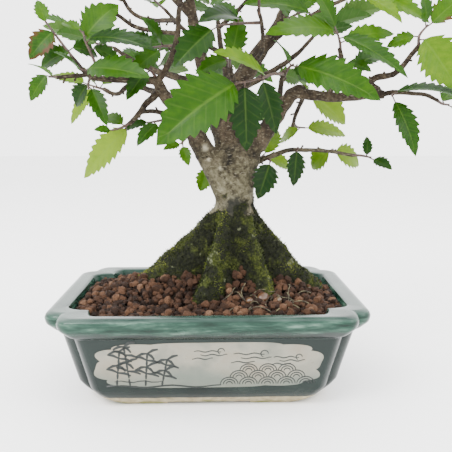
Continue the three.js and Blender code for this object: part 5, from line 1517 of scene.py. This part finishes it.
def leaf_finish(name, stops, rib_colour, vein_strength, glow, relief, roughness):
    """A leaf's face: colour by tone, with veins from its own chart and brown where dry."""
    face = Finish(name, Specular_IOR_Level=0.13)
    chart = face.here.node("UVMap", {"uv_map": "leaf"})
    aside = abs(chart.node("SeparateXYZ", None, {0: chart}, 0) - 0.5) * 2
    vein = chart.node("SeparateXYZ", None, {0: chart}, 1) * VEIN_COUNT_SPAN
    off_vein = abs(vein.math("FRACT", vein + 0.5) - 0.5)
    side_vein = off_vein.step(0.1, 0.02) * aside.step(1.05, 0.6)
    midrib = aside.step(0.09, 0.02)
    tone, dry = face.marked("tone"), face.marked("dry")
    mottle = face.here.grain(240, 3)
    cells = face.here.grain(2600, 2)
    shade = tone + 0.3 * (mottle - 0.5) + 0.1 * (cells - 0.5) + 0.08 * (off_vein - 0.25)
    ribs = side_vein.math("MAXIMUM", side_vein * 0.5, midrib)
    colour = (vein_strength * ribs).mix(shade.ramp(*stops), rib_colour)
    scorched = (dry + 0.5 * aside + 0.9 * (mottle - 0.5)).step(0.85, 1.05) * dry.step(0, 0.15)
    face.wear(
        Base_Color=scorched.mix(colour, (0.06, 0.022, 0.006)),
        Roughness=roughness + 0.15 * mottle,
        Normal=(0.8 * side_vein + midrib - 0.5 * cells).bump(0.0003, relief),
    )
    through = face.here.node("BsdfTranslucent", None, {"Color": (*glow, 1)})
    solid = Shade(face.tree, face.shader.outputs[0])
    blend = face.here.node("MixShader", None, {0: GLOW_SHARE, 1: solid, 2: through})
    face.tree.links.new(blend.socket, face.tree.nodes["Material Output"].inputs[0])
    return face.material


LEAF_GLOW = (0.12, 0.27, 0.0004)
leaf_top = leaf_finish(
    "leaf_top",
    [(0.05, (0.0015, 0.01, 0.002)), (0.3, (0.004, 0.022, 0.0006)), (0.5, (0.016, 0.056, 0.0002)),
     (0.7, (0.048, 0.115, 0.0002)), (0.95, (0.14, 0.22, 0.008))],
    (0.12, 0.2, 0.03), 0.25, LEAF_GLOW, -0.35, 0.3,
)
leaf_under = leaf_finish(
    "leaf_under",
    [(0.1, (0.02, 0.055, 0.012)), (0.5, (0.05, 0.12, 0.02)), (0.9, (0.12, 0.2, 0.05))],
    (0.17, 0.24, 0.09), 0.4, LEAF_GLOW, 0.4, 0.5,
)
twig = Finish("twig_bark", Roughness=0.6)
twig_grain = twig.here.grain(900, 3)
twig_bark = twig.wear(
    Base_Color=twig_grain.ramp(
        (0.35, (0.014, 0.006, 0.004)), (0.6, (0.045, 0.02, 0.011)), (0.75, (0.09, 0.06, 0.03))
    ),
    Normal=twig_grain.bump(0.0002, 0.4),
)


def lay_shoot(node, route, leaf_at, count, dries):
    """Makes one shoot with each leaf in the try that its solid has. False if it has none."""
    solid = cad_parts[node].data
    solid_points = KDTree(len(solid.vertices))
    for vertex in solid.vertices:
        solid_points.insert(vertex.co, vertex.index)
    solid_points.balance()
    shoot = Shoot()
    for index in range(count):
        tries = (leaf_at(index, attempt) for attempt in range(MOST_TRIES))
        leaf = next((leaf for leaf in tries if is_laid(leaf, solid_points)), None)
        if leaf:
            dry = dries[index] if index < len(dries) else 0
            shoot.leaf(leaf, draws(index, count, 5), dry)
    if not shoot.points:
        return False
    shoot.twig(route)
    shoot.settle(node)
    return True


# How far the leaves of some shoots are dried, in the order of their leaves
DRY_LEAVES = {"left_tip": (0.6, 0.45, 0.3), "right_tip": (0, 0, 0.5), "left_low": (0.4, 0)}
for spray, (name, (places, leaves)) in enumerate(FRONT_SPRAYS.items()):
    route = [Vector(p) for p in places]

    def leaf_at(index, attempt):
        return front_leaf(leaves[index], route, spray, index, attempt)

    lay_shoot(f"spray_{name}", route, leaf_at, len(leaves), DRY_LEAVES.get(name, ()))
for limb_index, count in enumerate(SHOOTS):
    for shoot in range(count):
        node = f"spray_crown_{limb_index + 1}_{shoot + 1}"
        spray = 100 + 10 * limb_index + shoot
        for attempt in range(MOST_TRIES):
            route = crown_twig(limb_index, shoot, count, attempt)

            def leaf_at(index, leaf_attempt):
                return crown_leaf(route, spray, index, leaf_attempt)

            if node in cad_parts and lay_shoot(node, route, leaf_at, LEAVES_PER_SHOOT, ()):
                break


bpy.ops.object.select_all(action="DESELECT")
